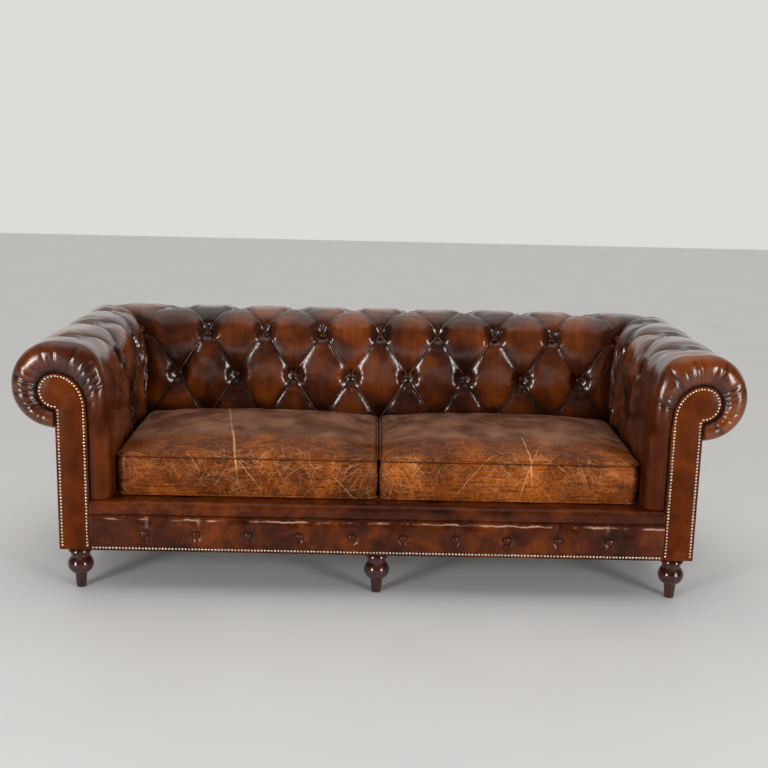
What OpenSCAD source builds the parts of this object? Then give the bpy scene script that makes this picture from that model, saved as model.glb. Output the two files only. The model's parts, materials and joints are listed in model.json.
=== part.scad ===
// Rolled-arm sofa in deep-buttoned leather, with two loose seat cushions.
// X runs to the right, Y to the back and Z up. The origin is on the floor under the middle.
// Sizes are in millimetres.

/* [Overall] */
// Width over the arm rolls
total_w = 2290; // [2100:10:2500]
// Depth from the front of the arms to the back of the roll
total_d = 1000; // [940:10:1100]
// Height of the arms and the back, which are level
total_h = 812; // [780:1:850]

/* [Rolls] */
// From the roll's axis to the inside face of the arm or back
pad_reach = 160; // [152:1:170]
// From the roll's axis to its outermost line
roll_out = 140; // [130:1:148]
// From the roll's axis down to its underside
roll_under = 136; // [124:1:139]
// Height at which the inside face starts to curve outwards
spring_z = 600; // [580:5:620]
// Squareness of the shoulder above that height, where 2 is an ellipse
shoulder = 3; // [2:0.1:3.2]
// How far the leather swells in front of the arm panel
roll_bulge = 22; // [16:1:26]
// Thickness of the buttoned leather with its wadding
cover_t = 38; // [36:1:42]
// Thickness of the foam under the buttoned leather
foam_t = 24; // [18:1:28]
// Thickness of the fibreboard bent round the ribs
liner_t = 3; // [2:0.5:4]

/* [Buttoning] */
// Depth of the leather at a button
dimple = 28; // [22:1:30]
// Depth of the leather along a pleat
pleat = 9; // [7:1:18]
// Distance between rows of buttons of the back, measured over the leather
tuft_row = 169; // [155:1:172]
// Distance between rows of buttons of an arm, measured over the leather
arm_row = 196; // [180:1:198]
// Half diamonds between the middle of the back and its corner
back_bays = 8; // [6:2:10]
// Half diamonds between the front of an arm and the corner
arm_bays = 6; // [6:2:8]
// From the last evenly spaced arm button to the inside corner
arm_rest = 116; // [90:1:140]
// Diameter of a covered button
button_d = 22; // [18:1:24]

/* [Arm panels] */
// From the roll's axis to the inside edge of the arm panel
panel_reach = 93; // [86:1:96]
// From the top of the roll to the top of the arm panel
panel_margin = 99; // [90:1:112]
// Radius of the round lobe of the arm panel
lobe_r = 58; // [52:1:64]
// Thickness of the padded arm panel
panel_t = 8; // [6:1:12]
// Thickness of the outside panels of the arms and back
side_t = 6; // [4:1:8]
// Diameter of a nail head
nail_d = 8.8; // [7:0.1:9.6]
// Distance between nails
nail_pitch = 10.5; // [10:0.5:14]
// From the edge of the leather to the line of nails
nail_inset = 9; // [7:0.5:12]

/* [Seat] */
// Height of the bottom edge of the upholstery
base_z = 140; // [120:5:160]
// Height of the groove under the front lip, and top of the rails
rail_top_z = 258; // [250:1:266]
// Height of the seat deck
deck_z = 305; // [300:1:312]
// Height of the top seam of a cushion
cushion_seam_z = 432; // [420:1:450]
// Rise of a cushion's crown above its top seam
cushion_crown = 48; // [24:1:54]
// From the front of the arm panels to the front of the cushions
cushion_setback = 64; // [50:1:80]
// Clearance between the two cushions
cushion_split = 3; // [2:0.5:6]
// Clearance between a cushion and an arm
cushion_side = 4; // [3:0.5:12]
// Clearance between a cushion and the back
cushion_rear = 8; // [7.5:0.5:12]
// Radius of the piping
piping_r = 3.5; // [2.5:0.25:4]
// Distance between the buttons of the front border
border_pitch = 164.5; // [150:0.5:172]

/* [Frame] */
// Thickness of the hardwood rails
rail_t = 30; // [24:1:34]
// Thickness of the plywood ribs
rib_t = 18; // [12:1:20]
// Thickness of the front scroll boards
board_t = 24; // [18:1:28]
// Width of a webbing strap
strap_w = 60; // [50:1:70]
// Thickness of a webbing strap
strap_t = 3; // [2:0.5:4]

/* [Feet] */
// Diameter of a foot's ball
ball_d = 83; // [70:1:84]
// Diameter of a foot where it meets the floor
toe_d = 28; // [24:1:36]
// From the front of the arm panels to the centre of the front feet
foot_setback = 48; // [46:1:60]
// From the axis of an arm's roll to the centre of the outer feet
foot_inset = 49; // [43:1:60]
// Diameter of the bolts that hold the feet
bolt_d = 8; // [6:1:10]

/* [Hidden] */
$fn = 32;
gap = 0.3;
mitre_gap = 0.4;
seam_gap = 1.4;

roll_x = total_w/2 - roll_out;
roll_y = total_d/2 - roll_out;
roll_z = total_h - roll_out;
face_y = roll_bulge - total_d/2;
pad_z = deck_z + gap;
panel_top = total_h - panel_margin;
lobe_z = panel_top - lobe_r;
board_y = face_y + panel_t;
board_back = board_y + board_t;

// Depths below the leather at which each layer of an arm or back starts and ends
foam_a = cover_t + gap;
foam_b = foam_a + foam_t;
liner_a = foam_b + gap;
liner_b = liner_a + liner_t;
rib_off = liner_b + gap;
rib_n = rib_off - pad_reach;

// The shoulder, by an angle from the inside face to the top. A table holds the angle for each share
// of the length over the leather, from steps that crowd towards the ends.
function shoulder_pt(t, off = 0) = let (k = 2/shoulder)
    [(off - pad_reach)*pow(cos(t), k), spring_z + (total_h - spring_z - off)*pow(sin(t), k)];
turn_steps = 36;
turns = [for (i = [0:turn_steps]) 45*(1 - cos(180*i/turn_steps))];
turn_len = [for (i = 0, l = 0; i <= turn_steps;
    l = i < turn_steps ? l + norm(shoulder_pt(turns[i + 1]) - shoulder_pt(turns[i])) : l, i = i + 1) l];
len_in = turn_len[turn_steps];
turn_table = [for (i = [0:turn_steps]) [turn_len[i]/len_in, turns[i]]];
function turn_at(q) = lookup(q - 1, turn_table);

// Lengths over the leather of the other stretches of the roll's profile
tuck_angle = 86.7;
function quarter(a, b) = PI/4*(3*(a + b) - sqrt((3*a + b)*(a + 3*b)));
len_face = spring_z - pad_z;
len_out = PI/2*roll_out;
len_low = quarter(roll_out, roll_under)*tuck_angle/90;
s_min = -len_face - len_in;
s_max = len_out + len_low;

// Spacing of the half diamonds
back_half = (roll_x - pad_reach)/back_bays;
arm_even = arm_bays - 2;
arm_half = (roll_y - pad_reach - face_y - arm_rest)/arm_even;

// The front of an arm's leather: where it starts to turn in, by what angle, and how far it swells.
// The roll's front stands proud of its panel, and below it the front slants back to the inside face.
turn_y = face_y + 20;
turn_angle = 155;
turn_swell = turn_y + total_d/2;
low_turn_y = face_y + 36;
low_turn_angle = 115;
low_turn_swell = 28;

// The profile of an arm or back: n is measured out from the roll's axis, z from the floor.
// q is 0 at the seat, 1 where the curve starts, 2 at the top, 3 at the outermost line and 4 underneath.
function hook(q, off = 0) =
    q < 1 ? [off - pad_reach, pad_z + q*len_face]
    : q < 2 ? shoulder_pt(turn_at(q), off)
    : q < 3 ? let (t = 90*(3 - q))
        [(roll_out - off)*cos(t), roll_z + (roll_out - off)*sin(t)]
    : let (t = -tuck_angle*(q - 3))
        [(roll_out - off)*cos(t), roll_z + (roll_under - off)*sin(t)];

// The outline of an arm panel, with the same q
function panel_hook(q, off = 0) =
    q < 1 ? [off - panel_reach, pad_z + q*len_face]
    : q < 2 ? let (t = 180 - 90*(q - 1))
        [(panel_reach - off)*cos(t), spring_z + (panel_top - spring_z - off)*sin(t)]
    : let (t = q < 3 ? 90*(3 - q) : -tuck_angle*(q - 3))
        [(lobe_r - off)*cos(t), lobe_z + (lobe_r - off)*sin(t)];

// Where the leather meets the edge of its arm panel, clear of the panel's straight outer edge
function seam_hook(q) = let (p = panel_hook(q, -seam_gap))
    [q < 3 ? p[0] : max(p[0], side_t + seam_gap), p[1]];

// q at a length s over the leather, measured outwards from the top of the roll
function q_at(s) =
    s < -len_in ? 1 + (s + len_in)/len_face
    : s < 0 ? 2 + s/len_in
    : s < len_out ? 2 + s/len_out
    : 3 + (s - len_out)/len_low;

function clamp(v, lo, hi) = min(max(v, lo), hi);
function smooth(v) = let (t = clamp(v, 0, 1)) t*t*(3 - 2*t);
function ridge(v) = abs(sin(180*v));

// Depth of the leather at u half diamonds along and s over the roll.
// Buttons lie where u + row is odd. Pleats run between them, and straight on past the end rows.
first_row = -3;
function tuft(u, s, spacing) =
    let (row = s/spacing, r = clamp(row, first_row, 0))
    let (a = ridge((u + r - 1)/2), b = ridge((u - r + 1)/2))
    let (hold = pow(1 - max(a, b), 1.2)*pow(max(0, 1 - abs(row - r)/0.6), 2))
    (pleat + (dimple - pleat)*hold)*(1 - pow(a*b, 0.45))*smooth((s_max - s)/70);

// The rows of an arm draw together towards the corner, to meet those of the back
function arm_spacing(u) = arm_row + (tuft_row - arm_row)*pow(clamp((u - arm_even)/2, 0, 1), 2);

// The leather dips to the mitre at a corner
mitre_dip = 16;
back_zone = 0.45;
arm_zone = 0.25;
function dip(f, zone) = mitre_dip*pow(clamp(1 - (1 - f)/zone, 0, 1), 2);

// Run round a corner: f goes from the last straight point to the mitre, n is out from the axis.
// It returns the place along and out from the roll's axis, which ends at axis_end.
function corner(f, start, axis_end, n) =
    n <= 0 ? [start + f*(axis_end + n - mitre_gap - start), n]
    : let (straight = axis_end - start, l = f*(straight + n*PI/4 - mitre_gap))
      l <= straight ? [start + l, n]
      : let (t = (l - straight)/n*180/PI) [axis_end + n*sin(t), n*cos(t)];

function back_pt(u, s, off) =
    let (f = abs(u) - (back_bays - 1))
    let (p = hook(q_at(s), off))
    let (run = f <= 0 ? [abs(u)*back_half, p[0]]
        : corner(f, (back_bays - 1)*back_half, roll_x, p[0]))
    [sign(u)*run[0], roll_y + run[1], p[1]];
function back_off(u, s) = let (f = abs(u) - (back_bays - 1))
    max(tuft(u, s, tuft_row), f > 0 ? dip(f, back_zone) : 0);

// The front of an arm turns in from the roll to the edge of its panel, from u = 0 to u = -2.
// upper is 1 beside the roll and falls to 0 below it.
function upper(q) = q >= 1 ? 1 : smooth((pad_z + q*len_face - spring_z)/60 + 1);
function blend(low, high, share) = low + (high - low)*share;
function arm_turn(u, q, off) =
    let (k = upper(q), angle = blend(low_turn_angle, turn_angle, k), t = -u/2*angle)
    let (e = (1 - cos(t))/(1 - cos(angle)), p = hook(q, off), w = seam_hook(q), m = p + e*(w - p))
    [-roll_x - m[0], blend(low_turn_y, turn_y, k) - blend(low_turn_swell, turn_swell, k)*sin(t), m[1]];
function arm_pt(u, s, off) =
    let (q = q_at(s))
    u < 0 ? arm_turn(u, q, off)
    : let (f = (u - arm_even)/2, p = hook(q, off), start = blend(low_turn_y, turn_y, upper(q)))
      let (run = u <= 1 ? [start + u*(face_y + arm_half - start), p[0]]
        : f <= 0 ? [face_y + u*arm_half, p[0]]
        : corner(f, face_y + arm_even*arm_half, roll_y, p[0]))
      [-roll_x - run[1], run[0], p[1]];
// Above the plain front of the arm the buttons start one half diamond in, below it two
function arm_off(u, s) =
    let (from = 0.2 + smooth((-s/arm_row - 1)/0.6), f = (u - arm_even)/2)
    max(tuft(u, s, arm_spacing(u))*smooth((u - from)/0.8), f > 0 ? dip(f, arm_zone) : 0);

// Columns and rows of the leather. Every second row is shifted by half a cell,
// so that the edges of the triangles run along the pleats.
corner_steps = [0.35, 0.7, 0.85, 1];
arm_steps = [0.25, 0.5, 0.7, 0.85, 1];
back_cols = concat(
    [for (i = [3:-1:0]) -(back_bays - 1) - corner_steps[i]],
    [for (u = [-(back_bays - 1):0.5:back_bays - 1]) u],
    [for (f = corner_steps) back_bays - 1 + f]);
arm_cols = concat(
    [for (u = [-2:0.5:arm_even]) u],
    [for (f = arm_steps) arm_even + 2*f]);
function rows_at(cell) = concat([s_min],
    [for (k = [ceil(s_min/cell + 0.35):floor(s_max/cell - 0.35)]) k*cell],
    [s_max]);
back_cell = tuft_row/4;
arm_cell = arm_row/4;
back_rows = rows_at(back_cell);
arm_rows = rows_at(arm_cell);
function shifted(cols) = concat([cols[0]],
    [for (i = [1:len(cols) - 1]) (cols[i - 1] + cols[i])/2],
    [cols[len(cols) - 1]]);
function is_odd_row(rows, i, cell) = i > 0 && i < len(rows) - 1 && round(rows[i]/cell)%2 != 0;

// Coarser columns and rows for the inside of the leather and for the layers under it
soft_steps = [0.5, 0.77, 0.885, 1];
back_soft_cols = concat(
    [for (i = [3:-1:0]) -(back_bays - 1) - soft_steps[i]],
    [-(back_bays - 1), 0, back_bays - 1],
    [for (f = soft_steps) back_bays - 1 + f]);
arm_soft_cols = concat([0, 2], [for (f = concat([0], soft_steps)) arm_even + 2*f]);
soft_q = [0, 0.5, 1, 1.25, 1.5, 1.75, 2, 2.33, 2.67, 3, 3.33, 3.67, 4];
function s_at(q) =
    q <= 1 ? -len_in - (1 - q)*len_face
    : q <= 2 ? (q - 2)*len_in
    : q <= 3 ? (q - 2)*len_out
    : len_out + (q - 3)*len_low;
soft_rows = [for (q = soft_q) s_at(q)];

// Triangles between two rows of points, given as their numbers and their places along the row
function zip(a, ka, b, kb, i = 0, j = 0) =
    let (a_end = i == len(a) - 1, b_end = j == len(b) - 1)
    a_end && b_end ? []
    : b_end || (!a_end && ka[i + 1] <= kb[j + 1] + 0.001)
        ? concat([[a[i], a[i + 1], b[j]]], zip(a, ka, b, kb, i + 1, j))
        : concat([[a[i], b[j + 1], b[j]]], zip(a, ka, b, kb, i, j + 1));
function starts(grid, at = 0) = [for (i = 0, t = at; i < len(grid); t = t + len(grid[i]), i = i + 1) t];
function span(from, count) = [for (i = [0:count - 1]) from + i];
function reversed(faces) = [for (f = faces) [f[0], f[2], f[1]]];

// A closed skin between an outer and an inner grid of points.
// Each grid is a list of rows, ku and kv hold each row's places along and its place across.
module quilt(outer, outer_u, outer_v, inner, inner_u, inner_v) {
    n = len(outer);
    m = len(inner);
    so = starts(outer);
    si = starts(inner, so[n - 1] + len(outer[n - 1]));
    ro = [for (i = [0:n - 1]) span(so[i], len(outer[i]))];
    ri = [for (i = [0:m - 1]) span(si[i], len(inner[i]))];
    left_o = [for (r = ro) r[0]];
    left_i = [for (r = ri) r[0]];
    right_o = [for (r = ro) r[len(r) - 1]];
    right_i = [for (r = ri) r[len(r) - 1]];
    faces = concat(
        [for (i = [0:n - 2]) each zip(ro[i], outer_u[i], ro[i + 1], outer_u[i + 1])],
        [for (i = [0:m - 2]) each reversed(zip(ri[i], inner_u[i], ri[i + 1], inner_u[i + 1]))],
        zip(ri[0], inner_u[0], ro[0], outer_u[0]),
        zip(ro[n - 1], outer_u[n - 1], ri[m - 1], inner_u[m - 1]),
        zip(right_i, inner_v, right_o, outer_v),
        zip(left_o, outer_v, left_i, inner_v));
    polyhedron([for (r = outer) each r, for (r = inner) each r], reversed(faces), convexity = 8);
}

// The columns of every row of the leather, and of the coarser rows
function row_cols(cols, rows, cell) =
    [for (i = [0:len(rows) - 1]) is_odd_row(rows, i, cell) ? shifted(cols) : cols];
function soft_row_cols(cols) = [for (r = soft_rows) cols];

// Inner grid of an arm's leather: it starts at the panel's edge, behind the scroll board
front_in = board_back + gap;
function arm_soft_pt(u, s, off) =
    u <= -1 ? let (w = seam_hook(q_at(s))) [-roll_x - w[0], front_in, w[1]]
    : u <= 0 ? let (p = hook(q_at(s), off)) [-roll_x - p[0], front_in, p[1]]
    : arm_pt(u, s, off);

module back_leather() {
    rows = back_rows;
    cols = row_cols(back_cols, rows, back_cell);
    soft = soft_row_cols(back_soft_cols);
    quilt(
        [for (i = [0:len(rows) - 1]) [for (u = cols[i]) back_pt(u, rows[i], back_off(u, rows[i]))]],
        cols, rows,
        [for (s = soft_rows) [for (u = back_soft_cols) back_pt(u, s, cover_t)]],
        soft, soft_rows);
}
module arm_leather() {
    rows = arm_rows;
    cols = row_cols(arm_cols, rows, arm_cell);
    soft_cols = concat([-2], arm_soft_cols);
    soft = soft_row_cols(soft_cols);
    quilt(
        [for (i = [0:len(rows) - 1]) [for (u = cols[i]) arm_pt(u, rows[i], arm_off(u, rows[i]))]],
        cols, rows,
        [for (s = soft_rows) [for (u = soft_cols) arm_soft_pt(u, s, cover_t)]],
        soft, soft_rows);
}
// A layer of the arm or back between two depths
module back_layer(a, b) {
    soft = soft_row_cols(back_soft_cols);
    quilt(
        [for (s = soft_rows) [for (u = back_soft_cols) back_pt(u, s, a)]], soft, soft_rows,
        [for (s = soft_rows) [for (u = back_soft_cols) back_pt(u, s, b)]], soft, soft_rows);
}
module arm_layer(a, b) {
    soft = soft_row_cols(arm_soft_cols);
    shift = [0, gap, 0];
    quilt(
        [for (s = soft_rows) [for (u = arm_soft_cols) arm_soft_pt(u, s, a) + (u <= 0 ? shift : [0, 0, 0])]],
        soft, soft_rows,
        [for (s = soft_rows) [for (u = arm_soft_cols) arm_soft_pt(u, s, b) + (u <= 0 ? shift : [0, 0, 0])]],
        soft, soft_rows);
}

leather = "#5a2a14";
leather_dark = "#3c1a0c";
leather_tan = "#9c5a28";
timber = "#c8a878";
mahogany = "#2a120c";
brass = "#c8b080";
cloth = "#2c2a28";

// A covered button: a shallow cone below, to sit in the dimple, and a dome above
button_cone = button_d*0.27;
button_dome = button_d*0.18;
module button() {
    cylinder(d1 = 0, d2 = button_d, h = button_cone);
    translate([0, 0, button_cone]) cylinder(d1 = button_d, d2 = button_d*0.55, h = button_dome);
}
// Puts a button on the profile: the slope is that of the leather there
function lean(q) = q <= 1 ? 180 : q >= 2 ? 90
    : let (t = turn_at(q), k = 2 - 2/shoulder)
      180 - atan2(pow(sin(t), k)/(total_h - spring_z), pow(cos(t), k)/pad_reach);
module seat_button(p, q, swing) {
    translate(p) rotate([0, 0, swing]) rotate([0, 90 - lean(q), 0]) translate([0, 0, gap]) button();
}
// Buttons near a corner sit higher, because the leather closes round them
tight_lift = 15;
inner_lift = 10;
near_lift = 2.3;
low_lift = 4;
function arm_lift(u, r) =
    r == 0 || u < arm_even ? 0
    : u > arm_even ? inner_lift
    : r == first_row ? low_lift : near_lift;
button_rows = [first_row, first_row + 1, first_row + 2, 0];
module back_buttons() {
    color(leather_dark)
        for (r = button_rows, u = [-back_bays:back_bays])
            if ((u + r)%2 != 0 && !(abs(u) == back_bays && (r == 0 || r == first_row))) {
                s = r*tuft_row;
                corner_u = abs(u) == back_bays;
                p = back_pt(u, s, corner_u ? dimple - tight_lift : dimple);
                seat_button(p, q_at(s), corner_u ? (u > 0 ? 45 : 135) : 90);
            }
}
module arm_buttons() {
    color(leather_dark)
        for (r = button_rows, u = [1:arm_bays - 1])
            if ((u + r)%2 != 0 && (r == 0 || u > 1)) {
                s = r*arm_spacing(u);
                seat_button(arm_pt(u, s, dimple - arm_lift(u, r)), q_at(s), 180);
            }
}

// The round-topped panel on the front of an arm, as an outline in n and z
panel_q = [for (i = [0:30]) 1 + i/10];
module panel_outline(off, outer_n) {
    polygon(concat([[off - panel_reach, base_z]],
        [for (q = panel_q) panel_hook(q, off)],
        [[outer_n, panel_hook(4, off)[1]], [outer_n, base_z]]));
}
// Puts an outline drawn in n and z upright at the left arm, from y0 to y1
module at_arm(y0, y1) {
    translate([-roll_x, y1, 0]) rotate([90, 0, 0]) linear_extrude(y1 - y0) mirror([1, 0]) children();
}
module at_back(x0, x1) {
    translate([x0, roll_y, 0]) rotate([90, 0, 90]) linear_extrude(x1 - x0) children();
}
module both() {
    children();
    mirror([1, 0, 0]) children();
}

module arm_panel() {
    color(leather) at_arm(face_y, board_y) panel_outline(0, side_t);
}
module nail() {
    cylinder(d1 = nail_d, d2 = nail_d*0.5, h = nail_d*0.34);
}
// Nails up the inside edge, round the top and down the outside edge of an arm panel
nail_q_in = round(quarter(panel_reach - nail_inset, panel_top - spring_z - nail_inset)/nail_pitch);
nail_q_lobe = round(PI*(lobe_r - nail_inset)*(90 + tuck_angle)/180/nail_pitch);
nail_foot = base_z + nail_inset + 6;
nail_up = round((spring_z - nail_foot)/nail_pitch);
lobe_low = panel_hook(4, nail_inset)[1] - nail_pitch;
nail_down = round((lobe_low - nail_foot)/nail_pitch);
nail_path = concat(
    [for (i = [0:nail_up - 1]) [nail_inset - panel_reach, nail_foot + i*(spring_z - nail_foot)/nail_up]],
    [for (i = [0:nail_q_in - 1]) panel_hook(1 + i/nail_q_in, nail_inset)],
    [for (i = [0:nail_q_lobe])
        let (t = 90 - i*(90 + tuck_angle)/nail_q_lobe)
        [(lobe_r - nail_inset)*cos(t), lobe_z + (lobe_r - nail_inset)*sin(t)]],
    [for (i = [0:nail_down]) [side_t - nail_inset - 2, lobe_low - i*(lobe_low - nail_foot)/nail_down]]);
module arm_nails() {
    color(brass)
        for (p = nail_path)
            translate([-roll_x - p[0], face_y, p[1]]) rotate([90, 0, 0]) nail();
}

// Frame
rail_n = 45;
rail_h = 28;
rail_drop = 25;
tack_t = 25;
tack_h = 50;
top_rail_z = roll_z - rail_drop;
strap_pitch = 108;
strap_y = [for (i = [0:5]) face_y + 106 + i*strap_pitch];
arm_rib_y = [strap_y[2] + strap_pitch/2, strap_y[5] + strap_pitch/2];
short_pitch = 132;
back_rib_x = [0, 3*short_pitch, 6*short_pitch];
post = 45;

module rib_outline(off) {
    under = hook(4, off)[1];
    polygon(concat([[off - pad_reach, rail_top_z]], [for (q = soft_q) hook(q, off)],
        [[0, under], [0, rail_top_z]]));
}
module rib() {
    difference() {
        rib_outline(rib_off);
        translate([-rail_n, top_rail_z]) square([2*rail_n, rail_h]);
        translate([rib_n - 1, deck_z + 1]) square([tack_t + 1, tack_h]);
        translate([rib_n/2, (deck_z + spring_z)/2 + 30]) circle(r = 26);
    }
}
module arm_ribs() {
    color(timber) {
        for (y = arm_rib_y) at_arm(y - rib_t/2, y + rib_t/2) rib();
        at_arm(board_y, board_back) panel_outline(2, 0);
    }
}
module back_ribs() {
    color(timber)
        for (x = back_rib_x, side = x > 0 ? [-1, 1] : [1])
            at_back(side*x - rib_t/2, side*x + rib_t/2) rib();
}
module arm_rails() {
    color(timber) {
        at_arm(front_in, roll_y - post) translate([-rail_n, top_rail_z]) square([2*rail_n, rail_h]);
        at_arm(front_in, roll_y + rib_n + tack_t)
            translate([rib_n, deck_z + 1]) square([tack_t, tack_h]);
    }
}
module back_rails() {
    color(timber) {
        at_back(-roll_x + post, roll_x - post)
            translate([-rail_n, top_rail_z]) square([2*rail_n, rail_h]);
        at_back(-roll_x - rib_n, roll_x + rib_n)
            translate([rib_n, deck_z + 1]) square([tack_t, tack_h]);
    }
}
module corner_posts() {
    color(timber) both()
        translate([roll_x - post, roll_y - post, rail_top_z])
            cube([post, post, top_rail_z + rail_h - rail_top_z]);
}
rail_h_base = rail_top_z - base_z;
front_rail_x = roll_x - panel_reach + 2;
module front_rail() {
    color(timber) translate([-front_rail_x, board_y, base_z])
        cube([2*front_rail_x, rail_t, rail_h_base]);
}
module back_rail() {
    color(timber) translate([-roll_x, roll_y - rail_t, base_z]) cube([2*roll_x, rail_t, rail_h_base]);
}
module side_rail() {
    color(timber) translate([-roll_x, board_back, base_z])
        cube([rail_t, roll_y - rail_t - board_back, rail_h_base]);
}
cross_x = 320;
cross_h = 80;
module cross_rails() {
    color(timber) both()
        translate([cross_x - rail_t/2, board_y + rail_t, base_z + 20])
            cube([rail_t, roll_y - 2*rail_t - board_y, cross_h]);
}
// Blocks that carry the feet, with a blind hole for each bolt
block_h = 80;
block_w = 60;
foot_front_y = face_y + foot_setback;
foot_rear_y = roll_y - foot_setback;
foot_x = roll_x - foot_inset;
foot_y = [foot_front_y, foot_rear_y];
bolt_up = 50;
bolt_down = 40;
module bolt_hole(x, y) {
    translate([x, y, base_z - 1]) cylinder(d = bolt_d + 2*gap, h = bolt_up + 2);
}
module corner_blocks() {
    block_l = 78;
    front_x = front_rail_x;
    side_x = roll_x - rail_t;
    color(timber) {
        both() {
            difference() {
                translate([front_x, board_back, base_z]) cube([side_x - front_x, block_l, block_h]);
                bolt_hole(foot_x, foot_front_y);
            }
            difference() {
                translate([front_x, roll_y - rail_t - block_l, base_z])
                    cube([side_x - front_x, block_l, block_h]);
                bolt_hole(foot_x, foot_rear_y);
            }
        }
        difference() {
            translate([-block_w/2, board_y + rail_t, base_z]) cube([block_w, block_l, block_h]);
            bolt_hole(0, foot_front_y);
        }
        difference() {
            translate([-block_w/2, roll_y - rail_t - block_l, base_z]) cube([block_w, block_l, block_h]);
            bolt_hole(0, foot_rear_y);
        }
    }
}

// Feet: a tapered toe, a ball, a neck and a collar, turned in one piece
collar_d = ball_d - 8;
collar_h = 14;
toe_h = base_z*0.33;
ball_z = base_z*0.56;
ball_flat = 0.44;
ball_low_d = 45;
neck_d = 60;
function ball_angle(d) = acos(d/ball_d);
module foot_profile() {
    low = ball_angle(ball_low_d);
    top = ball_angle(neck_d);
    collar_z = base_z - collar_h - 8;
    polygon(concat(
        [[0, 0], [toe_d/2, 0], [toe_d/2 + 1.5, 2], [ball_low_d/2 - 3, toe_h]],
        [for (i = [0:12]) let (t = -low + i*(low + top)/12)
            [ball_d/2*cos(t), ball_z + ball_d*ball_flat*sin(t)]],
        [[neck_d/2, collar_z - 3]],
        [for (i = [0:6]) let (t = -90 + 30*i)
            [collar_d/2 - collar_h/2 + collar_h/2*cos(t), collar_z + collar_h/2 + collar_h/2*sin(t)]],
        [[neck_d/2 + 4, base_z], [0, base_z]]));
}
module foot(x, y) {
    color(mahogany) translate([x, y, 0]) difference() {
        rotate_extrude() foot_profile();
        translate([0, 0, base_z - bolt_down - 1]) cylinder(d = bolt_d + 2*gap, h = bolt_down + 2);
    }
}
module foot_bolts() {
    color("silver")
        for (x = [-foot_x, 0, foot_x], y = foot_y)
            translate([x, y, base_z - bolt_down - 1 + gap]) cylinder(d = bolt_d, h = bolt_up + bolt_down);
}
dust_t = 1.5;
module dust_cover() {
    color(cloth) difference() {
        translate([-roll_x, board_y, base_z - dust_t])
            cube([2*roll_x, roll_y - board_y, dust_t]);
        for (x = [-foot_x, 0, foot_x], y = foot_y)
            translate([x, y, base_z - dust_t - 1]) cylinder(d = collar_d + 3, h = dust_t + 2);
    }
}

// Seat deck
long_z = rail_top_z;
cross_z = long_z + strap_t;
padding_z = cross_z + strap_t;
deck_cover_t = 2.5;
lip_reach = 80;
lip_back = face_y + lip_reach;
deck_x = roll_x + rib_n - gap;
deck_y = roll_y + rib_n - gap;
module webbing_long() {
    color("#b89a68")
        for (y = strap_y)
            translate([-roll_x + 5, y - strap_w/2, long_z]) cube([2*roll_x - 10, strap_w, strap_t]);
}
short_straps = 12;
module webbing_short() {
    color("#b89a68")
        for (i = [0:short_straps - 1])
            translate([(i - (short_straps - 1)/2)*short_pitch - strap_w/2, board_y + 10, cross_z])
                cube([strap_w, roll_y - rail_t/2 - board_y - 10, strap_t]);
}
module deck_padding() {
    color("#e0d8b8") translate([-deck_x, lip_back + gap, padding_z])
        cube([2*deck_x, deck_y - lip_back - gap, deck_z - deck_cover_t - padding_z]);
}
module deck_cover() {
    color(cloth) translate([-deck_x, lip_back + gap, deck_z - deck_cover_t])
        cube([2*deck_x, deck_y - lip_back - gap, deck_cover_t]);
}

// Front lip: a padded roll along the front of the deck, over the groove
lip_x = roll_x - panel_reach - gap;
lip_skin = 2.5;
lip_front = face_y - 5;
lip_top_r = 22;
lip_low_r = 9;
function arc(c, r, from, to, steps) =
    [for (i = [0:steps]) let (t = from + i*(to - from)/steps) c + r*[cos(t), sin(t)]];
module lip_outline(off) {
    r_top = lip_top_r - off;
    r_low = lip_low_r - off;
    y0 = lip_front + off;
    z0 = rail_top_z + gap + off;
    z1 = deck_z - off;
    step_y = board_y - gap - off;
    step_z = padding_z + gap + off;
    polygon(concat(
        [[step_y, z0], [step_y, step_z], [lip_back - off, step_z], [lip_back - off, z1]],
        arc([y0 + r_top, z1 - r_top], r_top, 90, 180, 6),
        arc([y0 + r_low, z0 + r_low], r_low, 180, 270, 5)));
}
module along_x(half) {
    translate([-half, 0, 0]) rotate([90, 0, 90]) linear_extrude(2*half) children();
}
module lip_cover() {
    color(leather) along_x(lip_x) difference() {
        lip_outline(0);
        lip_outline(lip_skin);
    }
}
module lip_roll() {
    color("#e0d8b8") along_x(lip_x) lip_outline(lip_skin + gap);
}

// Front border: padded leather under the lip, drawn in at one row of buttons
border_x = roll_x - panel_reach - gap;
border_swell = 9;
border_dimple = 11;
border_edge = 1;
border_lift = 1.6;
border_back = board_y - gap;
border_top = rail_top_z - gap;
border_mid = (base_z + border_top)/2;
nail_band = 2*nail_inset;
border_count = floor((2*border_x/border_pitch - 0.5)/2)*2;
function border_swell_at(z) =
    let (low = base_z + nail_band, t = clamp((z - low)/(border_top - low), 0, 1))
    border_edge + border_swell*pow(sin(180*t), 0.5);
function border_dip_at(x, z) =
    let (i = clamp(round(x/border_pitch - 0.5) + 0.5, -(border_count - 1)/2, (border_count - 1)/2))
    let (dx = abs(x - i*border_pitch)/30, dz = (z - border_mid)/24)
    max(border_dimple*pow(max(0, 1 - sqrt(dx*dx + dz*dz)), 1.2),
        z > border_mid ? 3*max(0, 1 - dx*2) : 0);
border_steps = [-0.5, -0.18, 0, 0.18];
border_u = concat([-border_x],
    [for (i = [0:border_count - 1], f = border_steps) (i - (border_count - 1)/2 + f)*border_pitch],
    [border_count/2*border_pitch, border_x]);
border_v = [base_z, base_z + nail_band, base_z + 30, border_mid - 12, border_mid, border_mid + 12,
    border_top - 22, border_top - 8, border_top];
function border_y(x, z) = z <= base_z + nail_band ? face_y
    : face_y - border_swell_at(z) + border_dip_at(x, z);
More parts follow.
